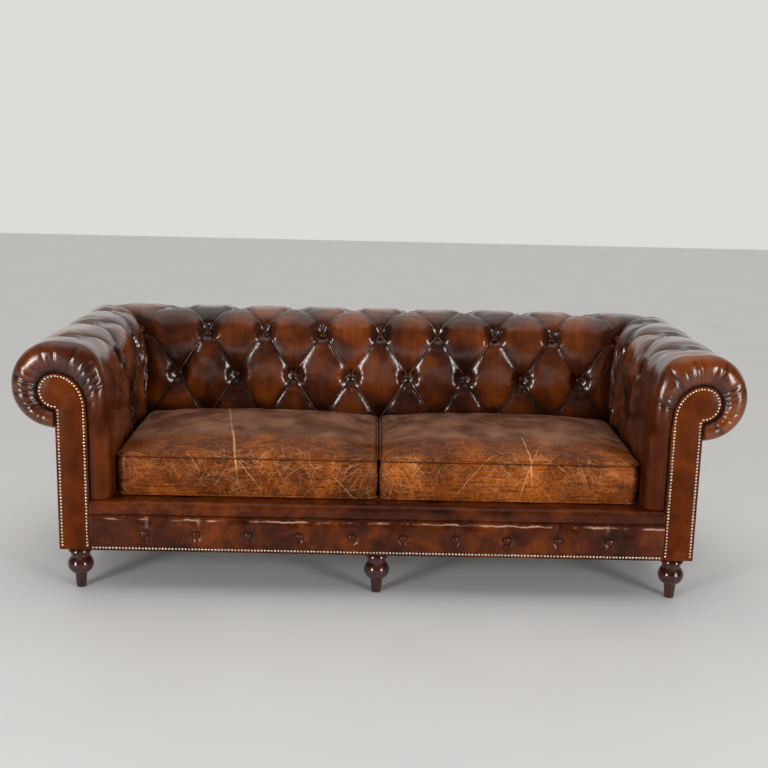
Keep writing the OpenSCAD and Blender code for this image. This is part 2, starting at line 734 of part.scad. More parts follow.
module border_cover() {
    u = [for (v = border_v) border_u];
    ends = [-border_x, border_x];
    levels = [base_z, border_top];
    color(leather) quilt(
        [for (z = border_v) [for (x = border_u) [x, border_y(x, z), z]]], u, border_v,
        [for (z = levels) [for (x = ends) [x, border_back, z]]], [for (z = levels) ends], levels);
}
module border_buttons() {
    color(leather_dark)
        for (i = [0:border_count - 1]) {
            x = (i - (border_count - 1)/2)*border_pitch;
            translate([x, border_y(x, border_mid) - border_lift, border_mid]) rotate([90, 0, 0]) button();
        }
}
border_nail_count = round(2*(border_x - nail_inset)/nail_pitch);
module border_nails() {
    color(brass)
        for (i = [0:border_nail_count]) {
            x = -border_x + nail_inset + i*2*(border_x - nail_inset)/border_nail_count;
            translate([x, border_y(x, base_z), base_z + nail_inset]) rotate([90, 0, 0]) nail();
        }
}

// Outside panels
side_top = hook(4, 0)[1] - gap;
module side_panel() {
    color(leather) translate([-roll_x - side_t, board_y, base_z])
        cube([side_t, roll_y - gap - board_y, side_top - base_z]);
}
module back_panel() {
    color(leather) translate([-roll_x - side_t, roll_y, base_z])
        cube([2*(roll_x + side_t), side_t, side_top - base_z]);
}

// A seat cushion: a boxed leather cover over a foam block, with piping and a zip at the back
cushion_x0 = cushion_split/2;
cushion_x1 = roll_x - pad_reach - cushion_side;
cushion_hw = (cushion_x1 - cushion_x0)/2;
cushion_cx = (cushion_x1 + cushion_x0)/2;
cushion_y0 = face_y + cushion_setback;
cushion_y1 = roll_y - pad_reach - cushion_rear;
cushion_hd = (cushion_y1 - cushion_y0)/2;
cushion_cy = (cushion_y1 + cushion_y0)/2;
cushion_floor = pad_z;
seam_low = cushion_floor + piping_r + gap;
seam_in = 2*piping_r + gap;
plan_r = 30;
ring_side = 8;
ring_bend = 3;
// A ring of points round the cushion, at an inset from its outermost line
function plan_ring(inset, side, bend) =
    let (w = cushion_hw - inset, d = cushion_hd - inset)
    let (r = min(max(plan_r - inset, 6) + inset*0.15, w, d))
    [for (c = [[1, -1, -90], [1, 1, 0], [-1, 1, 90], [-1, -1, 180]])
        each concat(
            [for (i = [0:bend]) let (t = c[2] + 90*i/bend)
                [c[0]*(w - r) + r*cos(t), c[1]*(d - r) + r*sin(t)]],
            [for (i = [1:side - 1]) let (turn = c[2] == -90 || c[2] == 90, s = 1 - 2*i/side)
                turn ? [c[0]*w, c[1]*(d - r)*s] : [c[0]*(w - r)*s, c[1]*d]])];
crown_fall = 3.8;
function crown_at(p, rise) =
    rise*(1 - pow(abs(p[0]/cushion_hw), crown_fall))*(1 - pow(abs(p[1]/cushion_hd), crown_fall));
// Rings from the floor of the cushion to its middle: inset, height and share of the crown
seam_groove = 5;
boxing = cushion_seam_z - seam_low;
cover_rings = concat(
    [[seam_in + 8, cushion_floor, 0], [seam_in, seam_low, 0],
        [seam_in - 0.8, seam_low + seam_groove, 0], [1.5, seam_low + 0.16*boxing, 0],
        [0, seam_low + 0.5*boxing, 0], [1.5, seam_low + 0.84*boxing, 0],
        [seam_in - 0.8, cushion_seam_z - seam_groove, 0], [seam_in, cushion_seam_z, 0],
        [seam_in + 9, cushion_seam_z + 7, 0.7]],
    [for (f = [0.1, 0.24, 0.45, 0.7]) [f*cushion_hd, cushion_seam_z + 8, 1]]);
function block_rings(skin) =
    [[seam_in + skin, cushion_floor + skin, 0], [seam_in + skin, cushion_seam_z - skin, 0],
        [seam_in + 3*skin, cushion_seam_z, 0.8], [0.3*cushion_hd, cushion_seam_z + 8 - skin, 1]];
// A closed solid through rings, with a point in the middle of its floor and its crown
module ring_solid(rings, side, bend, rise, top_z) {
    grid = [for (g = rings) [for (p = plan_ring(g[0], side, bend))
        [cushion_cx + p[0], cushion_cy + p[1], g[1] + g[2]*crown_at(p, rise)]]];
    m = len(grid[0]);
    n = len(grid);
    round = concat(span(0, m), [0]);
    key = span(0, m + 1);
    low = n*m;
    faces = concat(
        [for (i = [0:m - 1]) [low, round[i], round[i + 1]]],
        [for (j = [0:n - 2]) each zip([for (r = round) r + (j + 1)*m], key, [for (r = round) r + j*m], key)],
        [for (i = [0:m - 1]) [low + 1, round[i + 1] + (n - 1)*m, round[i] + (n - 1)*m]]);
    polyhedron(concat([for (g = grid) each g],
        [[cushion_cx, cushion_cy, rings[0][1]], [cushion_cx, cushion_cy, top_z]]),
        faces, convexity = 6);
}
skin_t = 4;
block_top = cushion_seam_z + 8 + cushion_crown;
module cushion_cover() {
    color(leather_tan) difference() {
        ring_solid(cover_rings, ring_side, ring_bend, cushion_crown, block_top);
        ring_solid(block_rings(skin_t), 2, 1, cushion_crown - skin_t, block_top - 2*skin_t);
    }
}
module cushion_core() {
    color("#efe6c8")
        ring_solid(block_rings(skin_t + gap), 2, 1, cushion_crown - skin_t - gap, block_top - 2*skin_t - gap);
}
module piping_ring(z) {
    bend_r = plan_r - piping_r;
    w = cushion_hw - plan_r;
    d = cushion_hd - plan_r;
    translate([cushion_cx, cushion_cy, z]) {
        for (s = [-1, 1]) {
            translate([-w, s*(d + bend_r), 0]) rotate([0, 90, 0]) cylinder(r = piping_r, h = 2*w);
            translate([s*(w + bend_r), -d, 0]) rotate([-90, 0, 0]) cylinder(r = piping_r, h = 2*d);
        }
        for (c = [[1, 1, 0], [-1, 1, 90], [-1, -1, 180], [1, -1, 270]])
            translate([c[0]*w, c[1]*d, 0]) rotate([0, 0, c[2]])
                rotate_extrude(angle = 90) translate([bend_r, 0]) circle(r = piping_r);
    }
}
module cushion_piping() {
    color(leather_tan) {
        piping_ring(seam_low);
        piping_ring(cushion_seam_z);
    }
}
zip_half = cushion_hw - 70;
zip_y = cushion_y1 + gap;
zip_z = seam_low + boxing/2;
zip_tape_h = 26;
zip_tape_t = 1;
zip_coil_h = 6;
zip_coil_t = 1.6;
slider_l = 14;
slider_h = 9;
slider_t = 1.8;
module cushion_zip() {
    color(cloth) {
        translate([cushion_cx - zip_half, zip_y, zip_z - zip_tape_h/2])
            cube([2*zip_half, zip_tape_t, zip_tape_h]);
        translate([cushion_cx - zip_half, zip_y + zip_tape_t, zip_z - zip_coil_h/2])
            cube([2*zip_half, zip_coil_t, zip_coil_h]);
    }
}
// The slider rides on the coil, with its pull hanging below
slider_x = -zip_half + slider_l;
slider_travel = 2*zip_half - 2*slider_l;
module cushion_slider() {
    coil_y = zip_y + zip_tape_t;
    color(brass) translate([cushion_cx + slider_x, 0, zip_z]) {
        difference() {
            translate([-slider_l/2, coil_y + gap, -slider_h/2])
                cube([slider_l, zip_coil_t + slider_t, slider_h]);
            translate([-slider_l/2 - 1, coil_y - 1, -zip_coil_h/2 - gap])
                cube([slider_l + 2, zip_coil_t + 1 + gap, zip_coil_h + 2*gap]);
        }
        translate([-2.5, coil_y + gap, -slider_h/2 - 22]) cube([5, slider_t, 22]);
    }
}

module right() {
    mirror([1, 0, 0]) children();
}

front_rail();
back_rail();
side_rail();  // side_rail_left
right() side_rail();  // side_rail_right
cross_rails();
corner_blocks();
corner_posts();
foot(-foot_x, foot_front_y);  // foot_front_left
foot(0, foot_front_y);  // foot_front_middle
foot(foot_x, foot_front_y);  // foot_front_right
foot(-foot_x, foot_rear_y);  // foot_back_left
foot(0, foot_rear_y);  // foot_back_middle
foot(foot_x, foot_rear_y);  // foot_back_right
foot_bolts();
dust_cover();
webbing_long();
webbing_short();
deck_padding();
deck_cover();
lip_roll();
lip_cover();
border_cover();
border_buttons();
border_nails();
arm_ribs();  // arm_left_ribs
arm_rails();  // arm_left_rails
color("#8a6a48") arm_layer(liner_a, liner_b);  // arm_left_liner
color("#e0d8b8") arm_layer(foam_a, foam_b);  // arm_left_foam
color(leather) arm_leather();  // arm_left_leather
arm_buttons();  // arm_left_buttons
arm_panel();  // arm_left_panel
arm_nails();  // arm_left_nails
side_panel();  // arm_left_outside
right() arm_ribs();  // arm_right_ribs
right() arm_rails();  // arm_right_rails
right() color("#8a6a48") arm_layer(liner_a, liner_b);  // arm_right_liner
right() color("#e0d8b8") arm_layer(foam_a, foam_b);  // arm_right_foam
right() color(leather) arm_leather();  // arm_right_leather
right() arm_buttons();  // arm_right_buttons
right() arm_panel();  // arm_right_panel
right() arm_nails();  // arm_right_nails
right() side_panel();  // arm_right_outside
back_ribs();
back_rails();
color("#8a6a48") back_layer(liner_a, liner_b);  // back_liner
color("#e0d8b8") back_layer(foam_a, foam_b);  // back_foam
color(leather) back_leather();
back_buttons();
back_panel();  // back_outside
right() cushion_cover();  // cushion_left_cover
right() cushion_core();  // cushion_left_core
right() cushion_piping();  // cushion_left_piping
right() cushion_zip();  // cushion_left_zip
right() cushion_slider();  // cushion_left_slider
cushion_cover();  // cushion_right_cover
cushion_core();  // cushion_right_core
cushion_piping();  // cushion_right_piping
cushion_zip();  // cushion_right_zip
cushion_slider();  // cushion_right_slider
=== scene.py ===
"""A rolled-arm sofa in deep-buttoned leather: its visible surfaces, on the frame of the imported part.

Every new surface is a function of two parameters, worked out as whole arrays. Lengths are in metres.
"""

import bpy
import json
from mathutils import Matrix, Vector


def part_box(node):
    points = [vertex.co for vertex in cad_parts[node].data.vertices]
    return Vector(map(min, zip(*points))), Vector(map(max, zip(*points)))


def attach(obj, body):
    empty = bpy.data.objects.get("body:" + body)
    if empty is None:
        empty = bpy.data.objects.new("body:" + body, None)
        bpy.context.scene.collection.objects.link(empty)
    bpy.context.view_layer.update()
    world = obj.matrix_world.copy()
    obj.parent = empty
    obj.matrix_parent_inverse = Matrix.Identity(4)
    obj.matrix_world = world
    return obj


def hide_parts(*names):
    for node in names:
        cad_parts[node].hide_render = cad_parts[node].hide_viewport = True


bl_info = {
    "name": "Buttoned leather sofa",
    "version": (1, 0, 0),
    "blender": (4, 5, 0),
    "location": "View3D > Sidebar > Sofa",
    "description": "Leather, cushions, nails, buttons and finishes of a rolled-arm sofa",
    "category": "Object",
}

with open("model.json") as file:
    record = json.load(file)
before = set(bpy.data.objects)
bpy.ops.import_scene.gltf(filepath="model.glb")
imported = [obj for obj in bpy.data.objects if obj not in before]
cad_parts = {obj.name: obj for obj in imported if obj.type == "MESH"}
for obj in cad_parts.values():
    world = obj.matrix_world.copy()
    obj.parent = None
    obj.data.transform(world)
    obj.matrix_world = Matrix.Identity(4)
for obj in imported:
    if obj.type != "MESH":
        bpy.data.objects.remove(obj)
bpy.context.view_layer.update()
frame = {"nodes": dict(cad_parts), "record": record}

import json
import math

import bpy
import numpy as np
from bpy.props import FloatProperty, FloatVectorProperty, IntProperty, PointerProperty
from mathutils import Matrix

# Main sizes of the frame. Each layer of an arm or back follows one outline round the roll's axis.
ROLL_OUT = 0.140
ROLL_UNDER = 0.136
PAD_REACH = 0.160
TOTAL_H = 0.812
SPRING_Z = 0.600
SHOULDER = 3.0
PAD_Z = 0.3053
ROLL_X = 1.005
ROLL_Y = 0.360
ROLL_Z = TOTAL_H - ROLL_OUT
FACE_Y = -0.478
BOARD_Y = -0.470
FRONT_IN = -0.4457
PANEL_REACH = 0.093
PANEL_TOP = 0.713
LOBE_R = 0.058
LOBE_Z = PANEL_TOP - LOBE_R
SIDE_T = 0.006
BASE_Z = 0.140
TUCK_ANGLE = 86.7
COVER_T = 0.038
SEAM_GAP = 0.0014
CLEAR = 0.0003

# Buttoning
DIMPLE = 0.028
PLEAT = 0.009
TUFT_ROW = 0.169
ARM_ROW = 0.196
BACK_BAYS = 8
ARM_BAYS = 6
ARM_REST = 0.116
FIRST_ROW = -3
BACK_HALF = (ROLL_X - PAD_REACH) / BACK_BAYS
ARM_EVEN = ARM_BAYS - 2
ARM_HALF = (ROLL_Y - PAD_REACH - FACE_Y - ARM_REST) / ARM_EVEN
MITRE_GAP = 0.0004
MITRE_DIP = 0.016
BACK_ZONE = 0.45
ARM_ZONE = 0.25
TIGHT_LIFT = 0.015
INNER_LIFT = 0.010
NEAR_LIFT = 0.0023
LOW_LIFT = 0.004
BUTTON_D = 0.022
BUTTON_SIDES = 20
NAIL_D = 0.0080
NAIL_PITCH = 0.0105
NAIL_INSET = 0.009
NAIL_Y = FACE_Y - 0.0002

# The turn of an arm's front, below its roll and beside it: where it starts in Y, its angle and its swell
LOW_TURN = (FACE_Y + 0.036, math.radians(115), 0.028)
ROLL_TURN = (FACE_Y + 0.020, math.radians(155), FACE_Y + 0.020 + 0.500)


def joined(*parts):
    """The parts side by side, as the last axis of one array."""
    return np.stack(np.broadcast_arrays(*parts), -1)


def quarter(a, b):
    """Length of a quarter of an ellipse with half axes a and b, by Ramanujan's formula."""
    return math.pi / 4 * (3 * (a + b) - math.sqrt((3 * a + b) * (a + 3 * b)))


def run_along(line):
    """Length from a line's start to each of its points, which are two rows of coordinates."""
    return np.concatenate([[0], np.cumsum(np.hypot(*np.diff(line, axis=1)))])


def shoulder_pt(t, off=0.0):
    """The shoulder, by an angle from the inside face to the top: squarer than a quarter ellipse."""
    k = 2 / SHOULDER
    out = (off - PAD_REACH) * np.cos(t).clip(0) ** k
    return out, SPRING_Z + (TOTAL_H - SPRING_Z - off) * np.sin(t) ** k


TURNS = math.pi / 4 * (1 - np.cos(math.pi * np.arange(37) / 36))
TURN_LEN = run_along(shoulder_pt(TURNS))
LEN_FACE = SPRING_Z - PAD_Z
LEN_IN = float(TURN_LEN[-1])
LEN_OUT = math.pi / 2 * ROLL_OUT
LEN_LOW = quarter(ROLL_OUT, ROLL_UNDER) * TUCK_ANGLE / 90
S_MIN = -LEN_FACE - LEN_IN
S_MAX = LEN_OUT + LEN_LOW


# Properties


def length(name, about, default, low, high):
    return FloatProperty(name=name, description=about, default=default, min=low, max=high, unit="LENGTH")


def colour(name, about, *default):
    return FloatVectorProperty(
        name=name, description=about, subtype="COLOR", size=4, default=(*default, 1), min=0, max=1)


class SofaSizes(bpy.types.PropertyGroup):
    """Sizes that a user would change."""

    cell: length("Leather cell", "Size of the mesh cells of the buttoned leather", 0.0048, 0.003, 0.02)
    wrinkle: length("Wrinkle depth", "Depth of the small gathers round the buttons", 0.0016, 0, 0.004)
    gather: length("Scroll gathers", "Depth of the gathers round the arm panels", 0.006, 0, 0.01)
    crown: length("Cushion crown", "Rise of a seat cushion above its top seam", 0.048, 0.024, 0.054)
    nail_sides: IntProperty(name="Nail head sides", description="Number of sides of a nail head",
                            default=8, min=6, max=16)


class SofaColours(bpy.types.PropertyGroup):
    """Colours that a user would change."""

    leather_dark: colour("Leather shade", "Darkest leather", 0.012, 0.0026, 0.0014)
    leather_mid: colour("Leather", "Main leather colour", 0.056, 0.0105, 0.0018)
    leather_bright: colour("Leather glow", "Brightest leather", 0.19, 0.040, 0.0035)
    leather_worn_and_lit: colour("Worn leather", "Pale rubbed edges", 0.44, 0.22, 0.12)
    tan: colour("Cushion leather", "Main colour of the cushions", 0.160, 0.034, 0.004)
    floor: colour("Floor", "Colour of the floor", 0.66, 0.655, 0.65)


def sizes():
    return bpy.context.scene.sofa_sizes


def colours():
    return bpy.context.scene.sofa_colours


# Outlines


def smooth(v):
    """Rises from 0 to 1 with a level start and end."""
    t = np.clip(v, 0, 1)
    return t * t * (3 - 2 * t)


def ridge(v):
    return np.abs(np.sin(np.pi * v))


def turn_at(q):
    """The shoulder's angle at q, so that the leather is spaced by length."""
    return np.interp(q - 1, TURN_LEN / LEN_IN, TURNS)


def by_q(q, face, top, outside, under):
    """A value for each part of an outline, which change at q = 1, 2 and 3."""
    return np.where(q < 1, face, np.where(q < 2, top, np.where(q < 3, outside, under)))


def hook(q, off=0.0):
    """Profile of an arm or back, off below the leather, as distances out from the roll's axis and heights.

    A straight face up to q = 1, the shoulder to the top at q = 2, a quarter circle to the outermost
    line at q = 3 and most of a quarter ellipse to the underside at q = 4.
    """
    n_in, z_in = shoulder_pt(turn_at(q), off)
    r = ROLL_OUT - off
    t_out = np.radians(90 * (3 - q))
    t_low = np.radians(-TUCK_ANGLE * (q - 3))
    z_low = ROLL_Z + (ROLL_UNDER - off) * np.sin(t_low)
    return (by_q(q, off - PAD_REACH, n_in, r * np.cos(t_out), r * np.cos(t_low)),
            by_q(q, PAD_Z + q * LEN_FACE, z_in, ROLL_Z + r * np.sin(t_out), z_low))


def panel_hook(q, off=0.0):
    """Outline of an arm panel with the same q: a straight edge, a quarter ellipse and a round lobe."""
    t_in = np.radians(180 - 90 * (q - 1))
    t_out = np.radians(np.where(q < 3, 90 * (3 - q), -TUCK_ANGLE * (q - 3)))
    n_out, z_out = (LOBE_R - off) * np.cos(t_out), LOBE_Z + (LOBE_R - off) * np.sin(t_out)
    z_in = SPRING_Z + (PANEL_TOP - SPRING_Z - off) * np.sin(t_in)
    return (by_q(q, off - PANEL_REACH, (PANEL_REACH - off) * np.cos(t_in), n_out, n_out),
            by_q(q, PAD_Z + q * LEN_FACE, z_in, z_out, z_out))


def seam_hook(q):
    """Where the leather meets the edge of its arm panel."""
    n, z = panel_hook(q, -SEAM_GAP)
    return np.where(q < 3, n, np.maximum(n, SIDE_T + SEAM_GAP)), z


def q_at(s):
    """q at a length s over the leather, measured outwards from the top of the roll."""
    return np.where(s < -LEN_IN, 1 + (s + LEN_IN) / LEN_FACE, np.where(
        s < 0, 2 + s / LEN_IN, np.where(s < LEN_OUT, 2 + s / LEN_OUT, 3 + (s - LEN_OUT) / LEN_LOW)))


def to_tuck(s):
    """1 on the leather, falling to 0 at its outer edge."""
    return smooth((S_MAX - s) / 0.07)


def tuft(u, s, spacing):
    """Depth of the leather: pleats where u + row or u - row is odd, dimples where both are."""
    row = s / spacing
    r = np.clip(row, FIRST_ROW, 0)
    a, b = ridge((u + r - 1) / 2), ridge((u - r + 1) / 2)
    hold = (1 - np.maximum(a, b)) ** 1.2 * np.maximum(0, 1 - np.abs(row - r) / 0.6) ** 2
    return (PLEAT + (DIMPLE - PLEAT) * hold) * (1 - (a * b) ** 0.45) * to_tuck(s)


def deeper(off):
    """Extra depth of the pleats, which leaves the buttons where they are."""
    return 0.004 * np.clip(off / PLEAT, 0, 1) ** 1.5 * (1 - smooth((off - PLEAT) / 0.010))


def within(from_mitre, s):
    """1 on the leather's middle, and 0 at its mitre and at its lower and outer edges."""
    return smooth(from_mitre / 0.5) * smooth((s - S_MIN) / 0.04) * smooth((S_MAX - s) / 0.09)


def arm_spacing(u):
    """Distance between the rows of an arm, which draw together towards the corner."""
    return ARM_ROW + (TUFT_ROW - ARM_ROW) * np.clip((u - ARM_EVEN) / 2, 0, 1) ** 2


def dip(f, zone):
    """Depth of the leather towards the mitre, which lies at f = 1."""
    return np.where(f > 0, MITRE_DIP * np.clip(1 - (1 - f) / zone, 0, 1) ** 2, 0)


def corner(f, start, axis_end, n):
    """Places along and out from the axis, for f from the last straight point to the mitre.

    Inside the axis the leather ends on the 45 degree line. Outside it turns round the axis's end.
    """
    inside = start + f * (axis_end + n - MITRE_GAP - start)
    straight = axis_end - start
    run = f * (straight + n * np.pi / 4 - MITRE_GAP)
    t = np.maximum(run - straight, 0) / np.maximum(n, 1e-6)
    along = np.where(n <= 0, inside, np.where(run <= straight, start + run, axis_end + n * np.sin(t)))
    return along, np.where((n > 0) & (run > straight), n * np.cos(t), n)


def back_pt(u, s, off):
    """Point of the back at u half diamonds along and s over the roll, off below the leather."""
    f = np.abs(u) - (BACK_BAYS - 1)
    n, z = hook(q_at(s), off)
    along, out = corner(np.maximum(f, 0), (BACK_BAYS - 1) * BACK_HALF, ROLL_X, n)
    along = np.where(f <= 0, np.abs(u) * BACK_HALF, along)
    return joined(np.sign(u) * along, ROLL_Y + np.where(f <= 0, n, out), z)


def arm_pt(u, s, off):
    """Point of the left arm. From u = 0 to -2 its front turns in from the roll to the panel's edge.

    Beside the roll the front swells out past the panel. Below it the front slants back to the inside face.
    """
    q = q_at(s)
    n, z = hook(q, off)
    k = np.where(q >= 1, 1.0, smooth((PAD_Z + q * LEN_FACE - SPRING_Z) / 0.06 + 1))
    begin, angle, swell = (low + (high - low) * k for low, high in zip(LOW_TURN, ROLL_TURN))
    f = (u - ARM_EVEN) / 2
    along, out = corner(np.maximum(f, 0), FACE_Y + ARM_EVEN * ARM_HALF, ROLL_Y, n)
    along = np.where(u <= 1, begin + u * (FACE_Y + ARM_HALF - begin),
                     np.where(f <= 0, FACE_Y + u * ARM_HALF, along))
    t = -np.minimum(u, 0) / 2 * angle
    e = (1 - np.cos(t)) / (1 - np.cos(angle))
    wn, wz = seam_hook(q)
    return joined(-ROLL_X - np.where(u < 0, n + e * (wn - n), np.where(f <= 0, n, out)),
                  np.where(u < 0, begin - swell * np.sin(t), along),
                  np.where(u < 0, z + e * (wz - z), z))


def arm_lift(u, r):
    """How far a button of an arm sits above the full depth, because the leather closes round it."""
    if r == 0 or u < ARM_EVEN:
        return 0.0
    return INNER_LIFT if u > ARM_EVEN else LOW_LIFT if r == FIRST_ROW else NEAR_LIFT


def waves(x, y, seed, count=7, low=3.0, high=11.0):
    """A smooth uneven height from a sum of sine waves that run in different directions."""
    rng = np.random.default_rng(seed)
    h = np.zeros(np.broadcast(x, y).shape)
    for _ in range(count):
        k, way, phase = rng.uniform(low, high), rng.uniform(0, math.tau), rng.uniform(0, math.tau)
        h += np.sin(math.tau * k * (x * math.cos(way) + y * math.sin(way)) + phase)
    return h / math.sqrt(count)


def button_gathers(u, s, spacing, half, seed):
    """Small folds that run out from each button, and a steeper rim round it, in wrinkle depths."""
    row = s / spacing
    h = np.zeros(u.shape)
    rng = np.random.default_rng(seed)
    for r in range(FIRST_ROW, 1):
        for c in range(-BACK_BAYS, BACK_BAYS + 1):
            count, phase, twist = rng.integers(9, 16), rng.uniform(0, math.tau), rng.uniform(-0.6, 0.6)
            lean = rng.uniform(0.6, 1.4)
            if (c + r) % 2 == 0:
                continue
            dx, dy = (u - c) * half, (row - r) * spacing
            d = np.hypot(dx, dy)
            near = smooth((d - 0.008) / 0.012) * (1 - smooth((d - 0.025) / 0.045))
            a = np.arctan2(dx, dy)
            h += near * lean * np.cos(count * a + phase + twist * d / 0.02) * (0.35 + 0.65 * np.cos(a) ** 2)
            rim = 2.8 - 1.2 * np.cos(a) if r > FIRST_ROW else 0
            h += 2.2 * np.exp(-((d - 0.018) / 0.010) ** 2) - rim * np.exp(-((d - 0.045) / 0.020) ** 2)
    return h


def scroll_gathers(u, s, seed):
    """Grooves that run out from the panel's edge over the front of the roll, each with its own length."""
    rng = np.random.default_rng(seed)
    h = np.zeros(u.shape)
    for place in np.linspace(-LEN_IN * 0.86, S_MAX - 0.05, 26):
        at = place + rng.uniform(-0.009, 0.009)
        deep, long = rng.uniform(0.35, 1.0), rng.uniform(0.7, 1.9)
        wide, lean = rng.uniform(3, 6.5), rng.uniform(-8, 8)
        width = 0.001 * wide * (1 + 0.5 * (u + 2))
        reach = smooth((long - 2 - u) / 0.5) * smooth((u + 2) / 0.35)
        h += deep * reach * np.exp(-np.abs(s - at - 0.001 * lean * (u + 2)) / width)
    return h


# Meshes


def mirrored(points):
    """The same points on the other side of the sofa."""
    return points * np.array([-1, 1, 1])


def new_object(name, points, faces, uv=None, fields=None, mirror=False):
    """A mesh object at the origin. uv holds a pair for each point, and each field a number for each point.

    mirror puts it on the other side of the sofa.
    """
    if mirror:
        points, faces = mirrored(points), [face[::-1] for face in faces]
    mesh = bpy.data.meshes.new(name)
    mesh.from_pydata(points.reshape(-1, 3).tolist(), [], faces)
    if uv is not None:
        loops = np.empty(len(mesh.loops), np.int32)
        mesh.loops.foreach_get("vertex_index", loops)
        layer = mesh.uv_layers.new(name="UVMap")
        layer.data.foreach_set("uv", uv.reshape(-1, 2)[loops].astype(np.float32).ravel())
    for key, values in (fields or {}).items():
        layer = mesh.attributes.new(key, "FLOAT", "POINT")
        layer.data.foreach_set("value", values.astype(np.float32).ravel())
    mesh.shade_smooth()
    obj = bpy.data.objects.new(name, mesh)
    bpy.context.scene.collection.objects.link(obj)
    return obj


def grid_faces(rows, cols, first=0, wrap=False, ring=False, flip=False):
    """Quads of a grid of points, row by row. wrap joins the last column to the first, and ring the rows."""
    ids = first + np.arange(rows * cols).reshape(rows, cols)
    ids = np.pad(ids, ((0, int(ring)), (0, int(wrap))), "wrap")
    quads = joined(ids[:-1, :-1], ids[:-1, 1:], ids[1:, 1:], ids[1:, :-1]).reshape(-1, 4)
    return (quads[:, ::-1] if flip else quads).tolist()


def fans(rows, cols, top, bottom):
    """Triangles that close the last row of a grid to one point and the first row to another."""
    last = (rows - 1) * cols
    pairs = [(i, (i + 1) % cols) for i in range(cols)]
    return [[last + i, last + j, top] for i, j in pairs] + [[j, i, bottom] for i, j in pairs]


def skin(name, outer, inner, uv=None, fields=None, mirror=False):
    """A closed skin: a fine outer grid, and an inner grid with the same rows and fewer columns."""
    rows, cols = outer.shape[:2]
    few = inner.shape[1]
    base, extra = rows * cols, rows * few
    faces = grid_faces(rows, cols) + grid_faces(rows, few, base, flip=True)
    out = np.arange(base).reshape(rows, cols).tolist()
    inn = np.arange(base, base + extra).reshape(rows, few).tolist()
    for j in range(rows - 1):
        faces.append([out[j][0], out[j + 1][0], inn[j + 1][0], inn[j][0]])
        faces.append([out[j + 1][-1], out[j][-1], inn[j][-1], inn[j + 1][-1]])
    faces += [inn[0] + out[0][::-1], out[-1] + inn[-1][::-1]]
    points = np.concatenate([outer.reshape(-1, 3), inner.reshape(-1, 3)])
    if uv is not None:
        uv = np.concatenate([uv.reshape(-1, 2), np.zeros((extra, 2))])
    fields = {key: np.concatenate([v.ravel(), np.zeros(extra)]) for key, v in (fields or {}).items()}
    return new_object(name, points, faces, uv, fields, mirror)


def turned(name, profile, places, turns, sides):
    """One profile of radii and heights, turned round its axis at each place, with its ends closed.

    turns is one matrix, or one for each place. It carries the axis Z to the piece's own direction.
    """
    rows = len(profile)
    ang = np.arange(sides) * math.tau / sides
    r, h = profile[:, :1], profile[:, 1:]
    wall = joined(r * np.cos(ang), r * np.sin(ang), h).reshape(-1, 3)
    one = np.concatenate([wall, [[0, 0, h[-1, 0]], [0, 0, h[0, 0]]]])
    turns = np.broadcast_to(turns, (len(places), 3, 3))
    points = np.einsum("kij,pj->kpi", turns, one) + np.asarray(places)[:, None]
    quads = np.array(grid_faces(rows, sides, wrap=True))
    ends = np.array(fans(rows, sides, len(wall), len(wall) + 1))
    faces = []
    for shift in range(0, len(places) * len(one), len(one)):
        faces += (quads + shift).tolist() + (ends + shift).tolist()
    return new_object(name, points, faces)


def facing(direction):
    """A matrix that carries the axis Z to a direction."""
    z = np.asarray(direction, float)
    z = z / np.linalg.norm(z)
    x = np.cross([0, 0, 1] if abs(z[2]) < 0.9 else [0, 1, 0], z)
    x = x / np.linalg.norm(x)
    return np.stack([x, np.cross(z, x), z], 1)


FORWARD = facing((0, -1, 0))


def finish_piece(obj, body, node_names, material):
    """Puts a finished piece on its body, in place of its CAD nodes."""
    obj.data.materials.clear()
    obj.data.materials.append(material)
    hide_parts(*node_names)
    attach(obj, body)


# Materials


class Nodes:
    """Short calls for the nodes of one tree. A value is a number, a tuple or a socket."""

    def __init__(self, tree):
        self.tree = tree
        tree.nodes.clear()

    def put(self, socket, value):
        if isinstance(value, bpy.types.NodeSocket):
            self.tree.links.new(value, socket)
        else:
            socket.default_value = value

    def node(self, kind, inputs, out=0, **settings):
        """Adds a node with its settings, fills its inputs and returns one of its outputs."""
        new = self.tree.nodes.new("ShaderNode" + kind)
        for key, value in settings.items():
            setattr(new, key, value)
        for key, value in inputs.items():
            self.put(new.inputs[key], value)
        return new.outputs[out]

    def math(self, op, *values):
        return self.node("Math", dict(enumerate(values)), operation=op)

    def add(self, a, b):
        return self.math("ADD", a, b)

    def sub(self, a, b):
        return self.math("SUBTRACT", a, b)

    def mul(self, first, *more):
        for value in more:
            first = self.math("MULTIPLY", first, value)
        return first

    def most(self, a, b):
        return self.math("MAXIMUM", a, b)

    def size(self, value):
        return self.math("ABSOLUTE", value)

    def axis(self, vector, name):
        return self.node("SeparateXYZ", {0: vector}, name)

    def band(self, value, low, high, to_low=0.0, to_high=1.0):
        """A smooth step of value from low to high."""
        inputs = {"Value": value, "From Min": low, "From Max": high, "To Min": to_low, "To Max": to_high}
        return self.node("MapRange", inputs, interpolation_type="SMOOTHSTEP")


